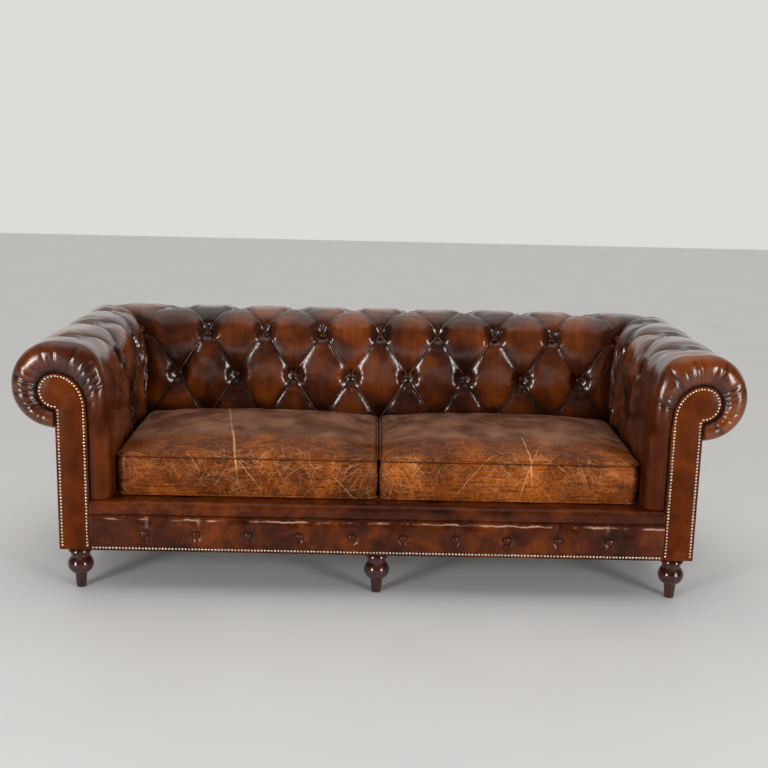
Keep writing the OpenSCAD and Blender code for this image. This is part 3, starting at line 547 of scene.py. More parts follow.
class Finish(Nodes):
    """The nodes of one material, round one Principled shader."""

    def __init__(self, name):
        self.mat = bpy.data.materials.get(name) or bpy.data.materials.new(name)
        self.mat.use_nodes = True
        super().__init__(self.mat.node_tree)
        self.shader = self.tree.nodes.new("ShaderNodeBsdfPrincipled")
        self.put(self.tree.nodes.new("ShaderNodeOutputMaterial").inputs[0], self.shader.outputs[0])
        coords = self.tree.nodes.new("ShaderNodeTexCoord").outputs
        self.object, self.uv = coords["Object"], coords["UV"]

    def scaled(self, vector, scale):
        return self.node("Mapping", {"Vector": vector, "Scale": scale})

    def noise(self, scale, detail=4, rough=0.55, vector=None, distortion=0.0):
        return self.node("TexNoise", {
            "Vector": self.object if vector is None else vector, "Scale": scale, "Detail": detail,
            "Roughness": rough, "Distortion": distortion}, "Fac")

    def cells(self, scale):
        return self.node("TexVoronoi", {"Vector": self.object, "Scale": scale}, "Distance", feature="F1")

    def attribute(self, name):
        return self.node("Attribute", {}, "Fac", attribute_name=name)

    def mix(self, share, a, b):
        return self.node("Mix", {0: share, 6: a, 7: b}, 2, data_type="RGBA")

    def over(self, base, colour, value, low, high, most=1.0):
        """base, with a colour laid over it where a value runs high."""
        return self.mix(self.band(value, low, high, 0.0, most), base, colour)

    def ramp(self, value, *stops):
        out = self.node("ValToRGB", {0: value})
        marks = out.node.color_ramp.elements
        while len(marks) < len(stops):
            marks.new(0.5)
        for mark, stop in zip(marks, stops):
            mark.position, mark.color = stop
        return out

    def join(self, x, y):
        return self.node("CombineXYZ", {0: x, 1: y})

    def bump(self, height, strength, distance, normal=None):
        inputs = {"Height": height, "Strength": strength, "Distance": distance}
        return self.node("Bump", inputs if normal is None else {**inputs, "Normal": normal})

    def veins(self, scale, width):
        """Thin wandering lines where a noise passes through its middle value."""
        v = self.noise(scale, 3, 0.6, distortion=0.4)
        return self.band(self.size(self.sub(v, 0.5)), 0.0, width, 1.0, 0.0)

    def surface(self, colour, rough, normal=None, polish=None, **more):
        more.update(Base_Color=colour, Roughness=rough)
        if normal is not None:
            more.update(Normal=normal, Coat_Normal=normal if polish is None else polish)
        for key, value in more.items():
            self.put(self.shader.inputs[key.replace("_", " ")], value)
        return self.mat


# The polish is clear, and the leather under it reflects in its own warm colour
GLOSS = {"Coat_Roughness": 0.19, "Specular_IOR_Level": 0.07, "Specular_Tint": (1, 0.5, 0.3, 1)}
GRAIN = 850


def signed_fold(n, value, sign):
    """Signed distance from the nearest pleat of one family, in pleat spacings."""
    return n.mul(n.sub(n.math("FRACT", n.add(value, 0.5)), 0.5), sign)


def buttoned_leather():
    """Glossy aged leather. Its UV runs across the two families of pleats, which lie at whole numbers.

    Each pleat is a thin dark line of painted shade, with a pale edge above it that is partly wear and partly
    painted highlight.
    Hollows are painted darker than the pads, and the plain front of an arm below its roll is painted darker:
    painted shade.
    """
    n = Finish("buttoned leather")
    c = colours()
    hold, deep, plain = (n.attribute(name) for name in ("hold", "deep", "plain"))
    u, v = (n.axis(n.uv, name) for name in "XY")
    flat = n.join(n.mul(n.add(u, v), 2 * BACK_HALF), n.mul(n.sub(u, v), TUFT_ROW))
    # Painted light and shade: a random tone, raised on the pads and lowered in the hollows by their depth
    glow = n.add(n.noise(5.0, 5, 0.55, distortion=0.5), n.band(deep, 0.0, 0.33, 0.07, -0.05))
    base = n.ramp(glow, (0.34, c.leather_dark), (0.50, c.leather_mid), (0.70, c.leather_bright))
    streak = n.noise(34, 5, 0.65, n.scaled(flat, (1, 0.2, 1)))
    base = n.over(base, c.leather_dark, streak, 0.45, 0.75, 0.45)
    # Painted shade: the hollows round the buttons are painted darker by their depth
    base = n.over(base, c.leather_dark, deep, 0.38, 0.72, 0.9)
    # Painted shade: the plain front of an arm, below its roll, is painted darker
    base = n.mix(n.mul(plain, 0.6), base, (0.05, 0.008, 0.001, 1))
    wander = n.mul(n.sub(n.noise(22, 3), 0.5), 0.016)
    folds = [n.add(signed_fold(n, across, sign), wander) for across, sign in ((u, 1.0), (v, -1.0))]
    near = n.math("MINIMUM", *(n.size(fold) for fold in folds))
    # Painted shade: the leather beside each pleat is painted darker
    base = n.mix(n.mul(n.band(near, 0.006, 0.06, 0.7, 0.0), hold), base, c.leather_dark)
    # Painted highlight and wear: a pale line in the worn colour along one side of each pleat
    for fold in folds:
        edge = n.mul(n.band(fold, 0.006, 0.011), n.band(fold, 0.012, 0.021, 1.0, 0.0), hold,
                     n.band(n.noise(8, 3), 0.42, 0.60, 0.10, 0.7))
        base = n.mix(edge, base, c.leather_worn_and_lit)
    # Painted shade: a thin dark line along each pleat
    line = n.mul(n.band(near, 0.002, 0.009, 1.0, 0.0), hold)
    base = n.mix(line, base, (0.003, 0.001, 0.001, 1))
    rub = n.mul(n.veins(16, 0.010), n.band(n.noise(4, 2), 0.50, 0.64), 0.16)
    base = n.mix(rub, base, c.leather_worn_and_lit)
    crumple = n.noise(30, 4, 0.5, n.scaled(flat, (1, 0.4, 1)), 0.4)
    fine = n.mul(n.noise(150, 3, 0.6, n.scaled(flat, (1, 0.10, 1))), n.band(n.noise(7, 2), 0.40, 0.62))
    polish = n.bump(fine, 0.25, 0.0010, n.bump(crumple, 0.32, 0.003))
    normal = n.bump(fine, 0.55, 0.0012, n.bump(crumple, 0.5, 0.003))
    normal = n.bump(n.cells(GRAIN), 0.18, 0.0004, normal)
    rough = n.band(n.noise(14, 4), 0.3, 0.75, 0.20, 0.36)
    return n.surface(base, rough, normal, polish, Coat_Weight=n.band(plain, 0.0, 1.0, 1.0, 0.15), **GLOSS)


def plain_leather(name, dark, mid, bright, scale=7.0, coat=0.5, rubbed_and_lit=None):
    """Smooth glossy leather, mottled, with a fine grain and shallow creases.

    Given a height, a pale wavy line is painted just above it: partly wear and partly painted highlight along a
    top edge.
    """
    n = Finish(name)
    base = n.ramp(n.noise(scale, 5, 0.62, distortion=0.4), (0.30, dark), (0.50, mid), (0.72, bright))
    base = n.over(base, dark, n.noise(55, 4, 0.7), 0.42, 0.8, 0.4)
    rub = n.mul(n.veins(30, 0.01), n.band(n.noise(6, 2), 0.5, 0.66), 0.12)
    base = n.mix(rub, base, colours().leather_worn_and_lit)
    # Painted highlight and wear: a pale wavy line just above the given height, along a top edge
    if rubbed_and_lit is not None:
        level = n.add(n.axis(n.object, "Z"), n.mul(n.noise(26, 3), 0.012))
        edge = n.band(n.size(n.sub(level, rubbed_and_lit + 0.006)), 0.0005, 0.004, 1.0, 0.0)
        edge = n.mul(edge, n.band(n.noise(11, 4), 0.44, 0.60, 0.0, 0.7))
        base = n.mix(edge, base, (0.50, 0.30, 0.22, 1))
    polish = n.bump(n.noise(40, 4, 0.55), 0.35, 0.002)
    normal = n.bump(n.cells(GRAIN), 0.25, 0.0004, polish)
    rough = n.band(n.noise(18, 4), 0.3, 0.75, 0.22, 0.42)
    return n.surface(base, rough, normal, polish, Coat_Weight=coat, **GLOSS)


# Long pale scratches of the cushions: both ends, in X and the length over the leather, and the width
SCRATCHES = (
    (-0.449, -0.06, -0.485, 0.26, 0.0045), (-0.47, 0.12, -0.55, 0.66, 0.0030),
    (-0.44, 0.64, -0.30, 0.50, 0.0026), (-0.41, 0.63, -0.36, 0.53, 0.0018),
    (-0.53, -0.08, -0.45, 0.05, 0.0011), (-0.37, -0.09, -0.46, 0.03, 0.0010),
    (-0.40, 0.00, -0.33, 0.10, 0.0012), (-0.27, 0.10, -0.20, -0.02, 0.0011),
    (-0.16, -0.02, -0.06, -0.12, 0.0010), (-0.62, 0.06, -0.57, -0.03, 0.0010),
    (0.44, -0.14, 0.53, 0.16, 0.0014), (0.495, -0.07, 0.47, 0.24, 0.0030),
    (0.36, 0.12, 0.54, -0.06, 0.0011), (0.24, -0.10, 0.38, 0.08, 0.0010),
    (0.30, 0.52, 0.52, 0.20, 0.0012), (0.62, -0.02, 0.50, 0.08, 0.0011),
)
# Fine scratches: their angle, and how often they come across it and along it
FINE_SCRATCHES = ((18, 330, 7), (-22, 300, 6), (52, 320, 7), (-58, 340, 7), (84, 310, 6),
                  (-4, 300, 6), (34, 340, 7), (-38, 310, 6), (68, 330, 8), (-75, 320, 7))


def fine_scratches(n, flat, angle, across, along):
    """Straight scratches at an angle: a noise drawn out along one direction, where it runs high."""
    way = n.node("Mapping", {"Vector": flat, "Rotation": (0, 0, math.radians(angle))})
    return n.band(n.noise(1.0, 2, 0.5, n.scaled(way, (across, along, 1))), 0.63, 0.71)


def scratch(n, flat, x0, y0, x1, y1, width):
    """One straight scratch between two points, fading at its ends."""
    place = {"Location": ((x0 + x1) / 2, (y0 + y1) / 2, 0), "Rotation": (0, 0, math.atan2(y1 - y0, x1 - x0))}
    way = n.node("Mapping", {"Vector": flat, **place}, vector_type="TEXTURE")
    half = math.dist((x0, y0), (x1, y1)) / 2
    away = n.size(n.add(n.axis(way, "Y"), n.mul(n.sub(n.noise(30, 2), 0.5), 0.006)))
    return n.mul(n.band(away, width * 0.4, width, 1.0, 0.0),
                 n.band(n.size(n.axis(way, "X")), half * 0.6, half, 1.0, 0.0))


def cushion_leather():
    """Distressed tan leather with long pale scratches, smoother towards the rear, and greyer there with a
    painted sheen.

    The scratches run over the front edge, because they are drawn in X and the length over the leather.
    """
    n = Finish("cushion leather")
    x, y, z = (n.axis(n.object, name) for name in "XYZ")
    over = n.add(y, z)
    flat = n.join(x, over)
    dark = (0.035, 0.008, 0.002, 1)
    base = n.ramp(n.noise(7, 6, 0.65, distortion=0.5), (0.30, dark), (0.48, colours().tan),
                  (0.66, (0.37, 0.092, 0.010, 1)))
    base = n.over(base, (0.035, 0.009, 0.003, 1), n.noise(130, 4, 0.75), 0.44, 0.66, 0.7)
    lines = n.noise(1.0, 3, 0.6, n.scaled(flat, (10, 150, 1)))
    base = n.over(base, dark, lines, 0.50, 0.66, 0.7)
    worn = n.band(n.add(over, n.mul(n.noise(6, 3), 0.10)), 0.20, 0.29, 1.0, 0.0)
    rear = n.sub(1.0, worn)
    # Painted sheen: the rear of the top is painted greyer and paler, a painted reflection; the pale lines on it
    # are scratches
    rear_sheen = n.over((0.105, 0.050, 0.032, 1), (0.30, 0.145, 0.092, 1), n.noise(9, 4), 0.35, 0.65)
    lines = n.noise(1.0, 4, 0.65, n.scaled(flat, (11, 150, 1)), 0.6)
    lines = n.mul(n.band(lines, 0.54, 0.68, 0.0, 0.5), n.band(n.noise(3.5, 2), 0.42, 0.62, 0.1, 1.0))
    rear_sheen = n.mix(lines, rear_sheen, (0.44, 0.25, 0.15, 1))
    base = n.mix(n.mul(rear, 0.85), base, rear_sheen)
    marks = n.mul(n.veins(10, 0.005), 0.8)
    for row in FINE_SCRATCHES:
        marks = n.most(marks, fine_scratches(n, flat, *row))
    from_seam = n.size(n.sub(over, SEAM_TOP + CUSHION_LOW.y))
    marks = n.mul(marks, n.band(n.noise(4, 3), 0.36, 0.60, 0.45, 1.0), n.band(worn, 0.0, 1.0, 0.22, 0.75),
                  n.band(from_seam, 0.01, 0.09, 1.0, 0.5))
    for row in SCRATCHES:
        marks = n.most(marks, scratch(n, flat, *row))
    marks = n.mul(marks, n.band(n.noise(48, 3), 0.36, 0.58, 0.35, 1.0), 0.92)
    base = n.mix(marks, base, (0.62, 0.30, 0.13, 1))
    seam = n.mul(n.band(n.size(n.sub(z, SEAM_TOP)), 0.0012, 0.003, 1.0, 0.0), 0.8)
    base = n.mix(seam, base, (0.02, 0.006, 0.003, 1))
    ripple = n.noise(28, 4, 0.6, n.scaled(n.object, (0.35, 1, 1)), 0.3)
    normal = n.bump(n.noise(120, 4, 0.65), 0.3, 0.0012, n.bump(ripple, 0.55, 0.003))
    normal = n.bump(n.cells(GRAIN), 0.22, 0.0004, normal)
    rough = n.sub(n.band(n.noise(20, 4), 0.3, 0.75, 0.40, 0.55), n.mul(rear, 0.10))
    return n.surface(base, rough, normal, Coat_Weight=0.14, **{**GLOSS, "Coat_Roughness": 0.2})


def aged_brass():
    n = Finish("aged brass")
    base = n.ramp(n.noise(260, 3), (0.30, (0.34, 0.27, 0.19, 1)), (0.55, (0.74, 0.66, 0.52, 1)))
    return n.surface(base, n.band(n.noise(400, 2), 0.3, 0.7, 0.22, 0.4),
                     n.bump(n.noise(700, 2), 0.2, 0.0003), Metallic=1.0)


def steel():
    n = Finish("bolt steel")
    brushed = n.noise(200, 3, 0.6, n.scaled(n.object, (1, 1, 0.05)))
    base = n.ramp(brushed, (0.3, (0.36, 0.36, 0.37, 1)), (0.7, (0.62, 0.62, 0.63, 1)))
    return n.surface(base, n.band(brushed, 0.3, 0.7, 0.25, 0.4), n.bump(brushed, 0.1, 0.0002), Metallic=1.0)


def dark_wood():
    n = Finish("dark turned wood")
    grain = n.noise(30, 5, 0.6, n.scaled(n.object, (1, 1, 0.12)), 1.2)
    base = n.ramp(grain, (0.35, (0.012, 0.003, 0.002, 1)), (0.65, (0.055, 0.011, 0.006, 1)))
    return n.surface(base, n.band(n.noise(60, 3), 0.3, 0.7, 0.10, 0.2), n.bump(grain, 0.08, 0.0008),
                     Coat_Weight=0.4, Coat_Roughness=0.10, Specular_IOR_Level=0.4)


def pale_wood(name, dark, light, way):
    n = Finish(name)
    grain = n.noise(22, 6, 0.6, n.scaled(n.object, way), 0.8)
    base = n.ramp(grain, (0.32, dark), (0.68, light))
    return n.surface(base, n.band(grain, 0.3, 0.7, 0.5, 0.7), n.bump(grain, 0.2, 0.0006))


def woven(name, dark, light, pitch):
    """A plain weave: two sets of waves at right angles."""
    n = Finish(name)
    height = n.mul(*(n.math("SINE", n.mul(n.axis(n.object, axis), math.tau / pitch)) for axis in "XY"))
    base = n.over(n.over(dark, light, height, -0.6, 0.6), dark, n.noise(30, 3), 0.4, 0.7, 0.4)
    return n.surface(base, 0.85, n.bump(height, 0.5, pitch / 6), Sheen_Weight=0.2)


def foam():
    n = Finish("foam")
    pores = n.cells(420)
    base = n.over((0.78, 0.72, 0.55, 1), (0.468, 0.432, 0.33, 1), pores, 0.2, 0.7, 0.35)
    return n.surface(base, 0.9, n.bump(pores, 0.5, 0.001))


# Pieces


def leather_rows():
    """Lengths over the roll of the rows of the fine leather."""
    return np.linspace(S_MIN, S_MAX, int((S_MAX - S_MIN) / sizes().cell) + 1)


def pleat_uv(u, s, spacing):
    """Coordinates across the two families of pleats."""
    r = np.clip(s / spacing, FIRST_ROW, 0)
    return joined((u + r - 1) / 2, (u - r + 1) / 2)


class SOFA_OT_back(bpy.types.Operator):
    """Buttoned leather of the back, from mitre to mitre"""

    bl_idname = "sofa.back"
    bl_label = "Back leather"

    def execute(self, context):
        count = int(2 * BACK_BAYS * BACK_HALF / sizes().cell)
        u, s = np.meshgrid(np.linspace(-BACK_BAYS, BACK_BAYS, count + 1), leather_rows())
        off = np.maximum(tuft(u, s, TUFT_ROW), dip(np.abs(u) - (BACK_BAYS - 1), BACK_ZONE))
        away = within(BACK_BAYS - np.abs(u), s)
        off = off + 0.6 * deeper(off) * away
        off = off + sizes().wrinkle * button_gathers(u, s, TUFT_ROW, BACK_HALF, 11) * away
        off = off + 0.0011 * waves(u * BACK_HALF, s, 5) * away
        ends = np.array([-BACK_BAYS, 1 - BACK_BAYS, BACK_BAYS - 1, BACK_BAYS], float)
        inner = back_pt(*np.meshgrid(ends, s[:, 0]), COVER_T)
        # deep, the depth below the leather, also sets the painted shade in the hollows and the painted light on
        # the pads
        fields = {"hold": to_tuck(s) * away, "deep": off / DIMPLE}
        obj = skin("back_leather_cover", back_pt(u, s, np.maximum(off, 0)), inner,
                   pleat_uv(u, s, TUFT_ROW), fields)
        finish_piece(obj, "frame", ["back_leather"], buttoned_leather())
        return {"FINISHED"}


def arm_surface(seed):
    """Outer grid, inner grid, pleat coordinates and fields of the left arm's leather."""
    count = int(ARM_BAYS * ARM_HALF / sizes().cell)
    along = np.concatenate([np.linspace(-2, 0, 34)[:-1], np.linspace(0, ARM_BAYS, count + 1)])
    u, s = np.meshgrid(along, leather_rows())
    spacing = arm_spacing(u)
    start = 0.2 + smooth((-s / ARM_ROW - 1) / 0.6)
    fade = smooth((u - start) / 0.8)
    off = np.maximum(tuft(u, s, spacing) * fade, dip((u - ARM_EVEN) / 2, ARM_ZONE))
    away = within(ARM_BAYS - u, s)
    off = off + deeper(off) * away * fade * (1 + smooth((s + 0.17) / 0.1))
    off = off + sizes().wrinkle * 1.3 * button_gathers(u, s, spacing, ARM_HALF, seed) * away * fade
    off = off + 0.0013 * waves(u * ARM_HALF, s, seed + 1) * away * smooth((u + 2) / 0.5)
    folds = (0.0024 + 0.0034 * smooth((u - 3.4) / 1.2)) * ridge(
        u * ARM_HALF / 0.031 + 0.6 * waves(u * ARM_HALF * 0.4, s, seed + 2))
    inside = smooth((-s - 0.10) / 0.15) * smooth((u - 1) / 1.0)
    off = off + folds * inside * away
    gather = sizes().gather * scroll_gathers(u, s, seed + 3) * smooth((s + LEN_IN * 0.95) / 0.04)
    gather = gather * np.where(u < 0, 1.0, np.clip(1 - u, 0, 1))
    outer = arm_pt(u, s, np.maximum(off, 0))
    outer[..., 1] += gather
    wall = np.array([0, 0, 1, ARM_EVEN, ARM_EVEN + 1, ARM_BAYS], float)
    inner = arm_pt(*np.meshgrid(wall, s[:, 0]), COVER_T)
    q = q_at(s[:, 0])
    for column, (n, z) in enumerate((seam_hook(q), hook(q, COVER_T))):
        inner[:, column] = joined(-ROLL_X - n, FRONT_IN, z)
    # deep sets the painted shade: the hollows, the scroll gathers and the turn beside the panel's edge are
    # painted darker
    deep = np.maximum(np.maximum(off / DIMPLE, gather * 80), smooth((-1.55 - u) / 0.4))
    # plain sets the painted shade on the arm's front below its roll, and less polish there
    plain = smooth((0.8 - u) / 0.6) * smooth((-LEN_IN * 0.5 - s) / 0.20)
    fields = {"hold": fade * to_tuck(s), "deep": deep, "plain": plain}
    return outer, inner, pleat_uv(u, s, spacing), fields


class SOFA_OT_arms(bpy.types.Operator):
    """Buttoned leather of the two arms, with its gathers round the front panels"""

    bl_idname = "sofa.arms"
    bl_label = "Arm leather"

    def execute(self, context):
        for side, seed in (("left", 31), ("right", 57)):
            obj = skin(f"arm_{side}_leather_cover", *arm_surface(seed), mirror=side == "right")
            finish_piece(obj, "frame", [f"arm_{side}_leather"], buttoned_leather())
        return {"FINISHED"}


def button_profile():
    """Radii and heights of a covered button: a shallow cone below and a flattened dome above."""
    t = np.linspace(0, 1.35, 7)
    r = BUTTON_D / 2
    dome = joined(r * np.cos(t), 0.006 + 0.0042 * np.sin(t))
    return np.concatenate([[[0.003, 0.0004], [r * 0.93, 0.0052]], dome])


def seat_turn(q, swing):
    """Turns the axis of a button to the slope of the leather at q, then by swing round the upright."""
    lean, k = 90 if q > 1.5 else 180, 2 - 2 / SHOULDER
    if 1 < q < 2:
        t = float(turn_at(q))
        rise, reach = math.sin(t) ** k / (TOTAL_H - SPRING_Z), math.cos(t) ** k / PAD_REACH
        lean = 180 - math.degrees(math.atan2(rise, reach))
    m = Matrix.Rotation(math.radians(swing), 3, "Z") @ Matrix.Rotation(math.radians(90 - lean), 3, "Y")
    return np.array(m)


class SOFA_OT_buttons(bpy.types.Operator):
    """Covered buttons of the back, the arms and the front border"""

    bl_idname = "sofa.buttons"
    bl_label = "Buttons"

    def execute(self, context):
        c = colours()
        leather = plain_leather("button leather", c.leather_dark, c.leather_mid, c.leather_mid, 60)
        groups = {"back": [], "arm_left": [], "arm_right": [], "border": []}
        flip = np.diag([-1, 1, 1])
        for r in range(FIRST_ROW, 1):
            s = np.array(r * TUFT_ROW)
            for u in range(-BACK_BAYS, BACK_BAYS + 1):
                at_end = abs(u) == BACK_BAYS
                if (u + r) % 2 and not (at_end and r in (0, FIRST_ROW)):
                    place = back_pt(np.array(float(u)), s, DIMPLE - (TIGHT_LIFT if at_end else 0))
                    swing = (45 if u > 0 else 135) if at_end else 90
                    groups["back"].append((place, seat_turn(float(q_at(s)), swing)))
            for u in range(1, ARM_BAYS):
                if (u + r) % 2 and (r == 0 or u > 1):
                    at = r * arm_spacing(np.array(float(u)))
                    place = arm_pt(np.array(float(u)), at, DIMPLE - arm_lift(u, r))
                    turn = seat_turn(float(q_at(at)), 180)
                    groups["arm_left"].append((place, turn))
                    groups["arm_right"].append((mirrored(place), flip @ turn @ flip))
        for x in BORDER_X:
            y = border_y(np.array(x), np.array(BORDER_MID)) - 0.0016
            groups["border"].append(((x, y, BORDER_MID), FORWARD))
        for group, rows in groups.items():
            obj = turned(f"{group}_covered_buttons", button_profile(), *zip(*rows), BUTTON_SIDES)
            finish_piece(obj, "frame", [f"{group}_buttons"], leather)
        return {"FINISHED"}


# Front border and lip
BORDER_HALF = ROLL_X - PANEL_REACH - CLEAR
BORDER_TOP = 0.258 - CLEAR
BORDER_MID = (BASE_Z + BORDER_TOP) / 2
BORDER_PITCH = 0.1645
BORDER_COUNT = 10
LAST_X = (BORDER_COUNT - 1) / 2
BORDER_X = [(i - LAST_X) * BORDER_PITCH for i in range(BORDER_COUNT)]
NAIL_BAND = 2 * NAIL_INSET
FRONT_COLUMNS = 560
INNER_Y = BOARD_Y - CLEAR


def border_y(x, z):
    """Front face of the border: a swell above the nail band, drawn in round each button."""
    low = BASE_Z + NAIL_BAND
    t = np.clip((z - low) / (BORDER_TOP - low), 0, 1)
    swell = 0.001 + 0.009 * np.sin(np.pi * t) ** 0.5
    near = np.clip(np.round(x / BORDER_PITCH - 0.5) + 0.5, -LAST_X, LAST_X)
    dx = np.abs(x - near * BORDER_PITCH) / 0.030
    dz = (z - BORDER_MID) / 0.024
    drawn = 0.011 * np.maximum(0, 1 - np.hypot(dx, dz)) ** 1.2
    crease = np.where(z > BORDER_MID, 0.0024 * np.exp(-(dx * 2.6) ** 2), 0)
    return np.where(z <= low, FACE_Y, FACE_Y - swell + np.maximum(drawn, crease))


class SOFA_OT_border(bpy.types.Operator):
    """Padded leather of the front border, and the lip above it"""

    bl_idname = "sofa.border"
    bl_label = "Border and lip"

    def execute(self, context):
        # The last number is the height of the pale line of painted highlight and wear along the border's top
        # edge
        leather = plain_leather("border leather", colours().leather_dark, (0.055, 0.0095, 0.0013, 1),
                                (0.15, 0.029, 0.002, 1), 9, 0.35, BORDER_TOP - 0.010)
        x, z = np.meshgrid(np.linspace(-BORDER_HALF, BORDER_HALF, FRONT_COLUMNS),
                           np.linspace(BASE_Z, BORDER_TOP, 72))
        free = smooth((z - BASE_Z - NAIL_BAND - 0.002) / 0.012) * smooth((BORDER_TOP - z) / 0.012)
        free = free * smooth((BORDER_HALF - np.abs(x)) / 0.02)
        below = smooth((BORDER_MID - z) / 0.02)
        crinkle = 0.0026 * ridge(x / 0.017 + 0.7 * waves(x, z * 2, 3)) * below
        y = border_y(x, z) + free * (crinkle + 0.0010 * waves(x, z * 2, 8, 8, 4, 16))
        xe, ze = np.meshgrid([-BORDER_HALF, BORDER_HALF], z[:, 0])
        obj = skin("border_leather", joined(x, y, z), joined(xe, INNER_Y, ze))
        finish_piece(obj, "frame", ["border_cover"], leather)
        self.lip(leather)
        return {"FINISHED"}

    def lip(self, leather):
        """The lip: one outline carried along X, with rounded front edges and two upright seams."""
        low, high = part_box("lip_cover")
        r_top, r_low = 0.022, 0.009
        line = [[[INNER_Y, low.z]]]
        for cy, cz, r, a, b in ((low.y + r_low, low.z + r_low, r_low, 270, 180),
                                (low.y + r_top, high.z - r_top, r_top, 180, 90)):
            t = np.radians(np.linspace(a, b, 10))
            line.append(joined(cy + r * np.cos(t), cz + r * np.sin(t)))
        line.append(np.linspace([low.y + r_top + 0.004, high.z], [high.y, high.z], 8))
        ys, zs = np.concatenate(line).T
        run = run_along((ys, zs))
        k = np.linspace(0, run[-1], 60)
        profile = joined(np.interp(k, run, ys), np.interp(k, run, zs))
        step = np.gradient(profile, axis=0)
        out = joined(-step[:, 1], step[:, 0]) / np.linalg.norm(step, axis=1)[:, None]
        x, k = np.meshgrid(np.linspace(-high.x, high.x, FRONT_COLUMNS), k)
        press = 0.0012 * (1 + waves(x, k, 21, 8, 2, 9)) + 0.0016 * np.exp(-np.abs(np.abs(x) - 0.28) / 0.004)
        press = np.clip(press, 0, 0.006) * smooth(k / 0.012) * smooth((run[-1] - k) / 0.02)
        y, z = np.moveaxis(profile[:, None] - out[:, None] * press[..., None], -1, 0)
        xe, ye = np.meshgrid([-high.x, high.x], np.linspace(INNER_Y, high.y, len(k)))
        under = np.where(ye < BOARD_Y, low.z + 0.001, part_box("lip_roll")[0].z + 0.012)
        obj = skin("lip_leather", joined(x, y, z), joined(xe, ye, under))
        finish_piece(obj, "frame", ["lip_cover", "lip_roll"], leather)


# Arm panels and nails
def panel_ring(off):
    """Closed outline of an arm panel, off in from its edge, with the same number of points for every off."""
    r, leg, foot = LOBE_R - off, SIDE_T - off, BASE_Z + off
    t = np.linspace(math.pi / 2, -math.acos(np.clip(leg / r, -1, 1)), 40)
    n_lobe, z_lobe = r * np.cos(t), LOBE_Z + r * np.sin(t)
    return np.concatenate([joined(off - PANEL_REACH, np.linspace(foot, SPRING_Z, 24)[:-1]),
                           joined(*panel_hook(np.linspace(1, 2, 26)[:-1], off)), joined(n_lobe, z_lobe),
                           joined(leg, np.linspace(z_lobe[-1], foot, 24)[1:])])


def nail_path():
    """Nail places of an arm panel: up the inner edge, round the lobe and down the outer edge."""
    n_in = round(quarter(PANEL_REACH - NAIL_INSET, PANEL_TOP - SPRING_Z - NAIL_INSET) / NAIL_PITCH)
    r = LOBE_R - NAIL_INSET
    n_lobe = round(math.pi * r * (90 + TUCK_ANGLE) / 180 / NAIL_PITCH)
    foot = BASE_Z + NAIL_INSET + 0.006
    n_up = round((SPRING_Z - foot) / NAIL_PITCH)
    low = LOBE_Z - r * math.sin(math.radians(TUCK_ANGLE)) - NAIL_PITCH
    n_down = round((low - foot) / NAIL_PITCH)
    up = [(NAIL_INSET - PANEL_REACH, foot + i * (SPRING_Z - foot) / n_up) for i in range(n_up)]
    over = [tuple(float(v) for v in panel_hook(np.array(1 + i / n_in), NAIL_INSET)) for i in range(n_in)]
    turn = [math.radians(90 - i * (90 + TUCK_ANGLE) / n_lobe) for i in range(n_lobe + 1)]
    lobe = [(r * math.cos(t), LOBE_Z + r * math.sin(t)) for t in turn]
    down = [(SIDE_T - NAIL_INSET - 0.002, low - i * (low - foot) / n_down) for i in range(n_down + 1)]
    return up + over + lobe + down


class SOFA_OT_panels(bpy.types.Operator):
    """Round-topped leather panels on the fronts of the arms"""

    bl_idname = "sofa.panels"
    bl_label = "Arm panels"

    def execute(self, context):
        leather = plain_leather("panel leather", (0.030, 0.005, 0.001, 1), (0.088, 0.0150, 0.0012, 1),
                                (0.165, 0.034, 0.002, 1), 6, 0.10)
        offs = (0.0, 0.0, 0.0006, 0.002, 0.005, 0.009, 0.014, 0.022, 0.032, 0.042)
        proud = (-0.008, -0.0035, -0.0012, 0, 0.0002, 0, 0.0006, 0.0018, 0.0026, 0.0030)
        rings = np.array([panel_ring(off) for off in offs])
        rows, count = rings.shape[:2]
        points = joined(-ROLL_X - rings[..., 0], FACE_Y - np.array(proud)[:, None], rings[..., 1])
        faces = grid_faces(rows, count, wrap=True)
        faces += [list(range((rows - 1) * count, rows * count)), list(range(count))[::-1]]
        for side in ("left", "right"):
            obj = new_object(f"arm_{side}_panel_leather", points, faces, mirror=side == "right")
            finish_piece(obj, "frame", [f"arm_{side}_panel"], leather)
        return {"FINISHED"}


class SOFA_OT_nails(bpy.types.Operator):
    """Domed nail heads round the arm panels and along the border"""

    bl_idname = "sofa.nails"
    bl_label = "Nails"

    def execute(self, context):
        t = np.radians([0, 32, 62])
        dome = joined(NAIL_D / 2 * np.cos(t), NAIL_D * 0.36 * np.sin(t))
        brass = aged_brass()
        half = BORDER_HALF - NAIL_INSET
        along = np.linspace(-half, half, round(2 * half / NAIL_PITCH) + 1)
        groups = {f"arm_{side}": [(sign * (ROLL_X + n), NAIL_Y, z) for n, z in nail_path()]
                  for side, sign in (("left", -1), ("right", 1))}
        groups["border"] = [(x, NAIL_Y, BASE_Z + NAIL_INSET) for x in along]
        for group, places in groups.items():
            obj = turned(f"{group}_nail_heads", dome, places, FORWARD, sizes().nail_sides)
            finish_piece(obj, "frame", [f"{group}_nails"], brass)
        return {"FINISHED"}


# Seat cushions, which are drawn as the right one
CUSHION_LOW, CUSHION_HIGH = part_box("cushion_right_cover")
HALF_W = (CUSHION_HIGH.x - CUSHION_LOW.x) / 2
HALF_D = (CUSHION_HIGH.y - CUSHION_LOW.y) / 2
MID_X = (CUSHION_HIGH.x + CUSHION_LOW.x) / 2
MID_Y = (CUSHION_HIGH.y + CUSHION_LOW.y) / 2
PIPING_R = 0.0035
SEAM_IN = 2 * PIPING_R + CLEAR
SEAM_LOW = PAD_Z + PIPING_R + CLEAR
SEAM_TOP = 0.432
PLAN_R = 0.030
PLAN_COUNT = 400
CORNER_COUNT = 16


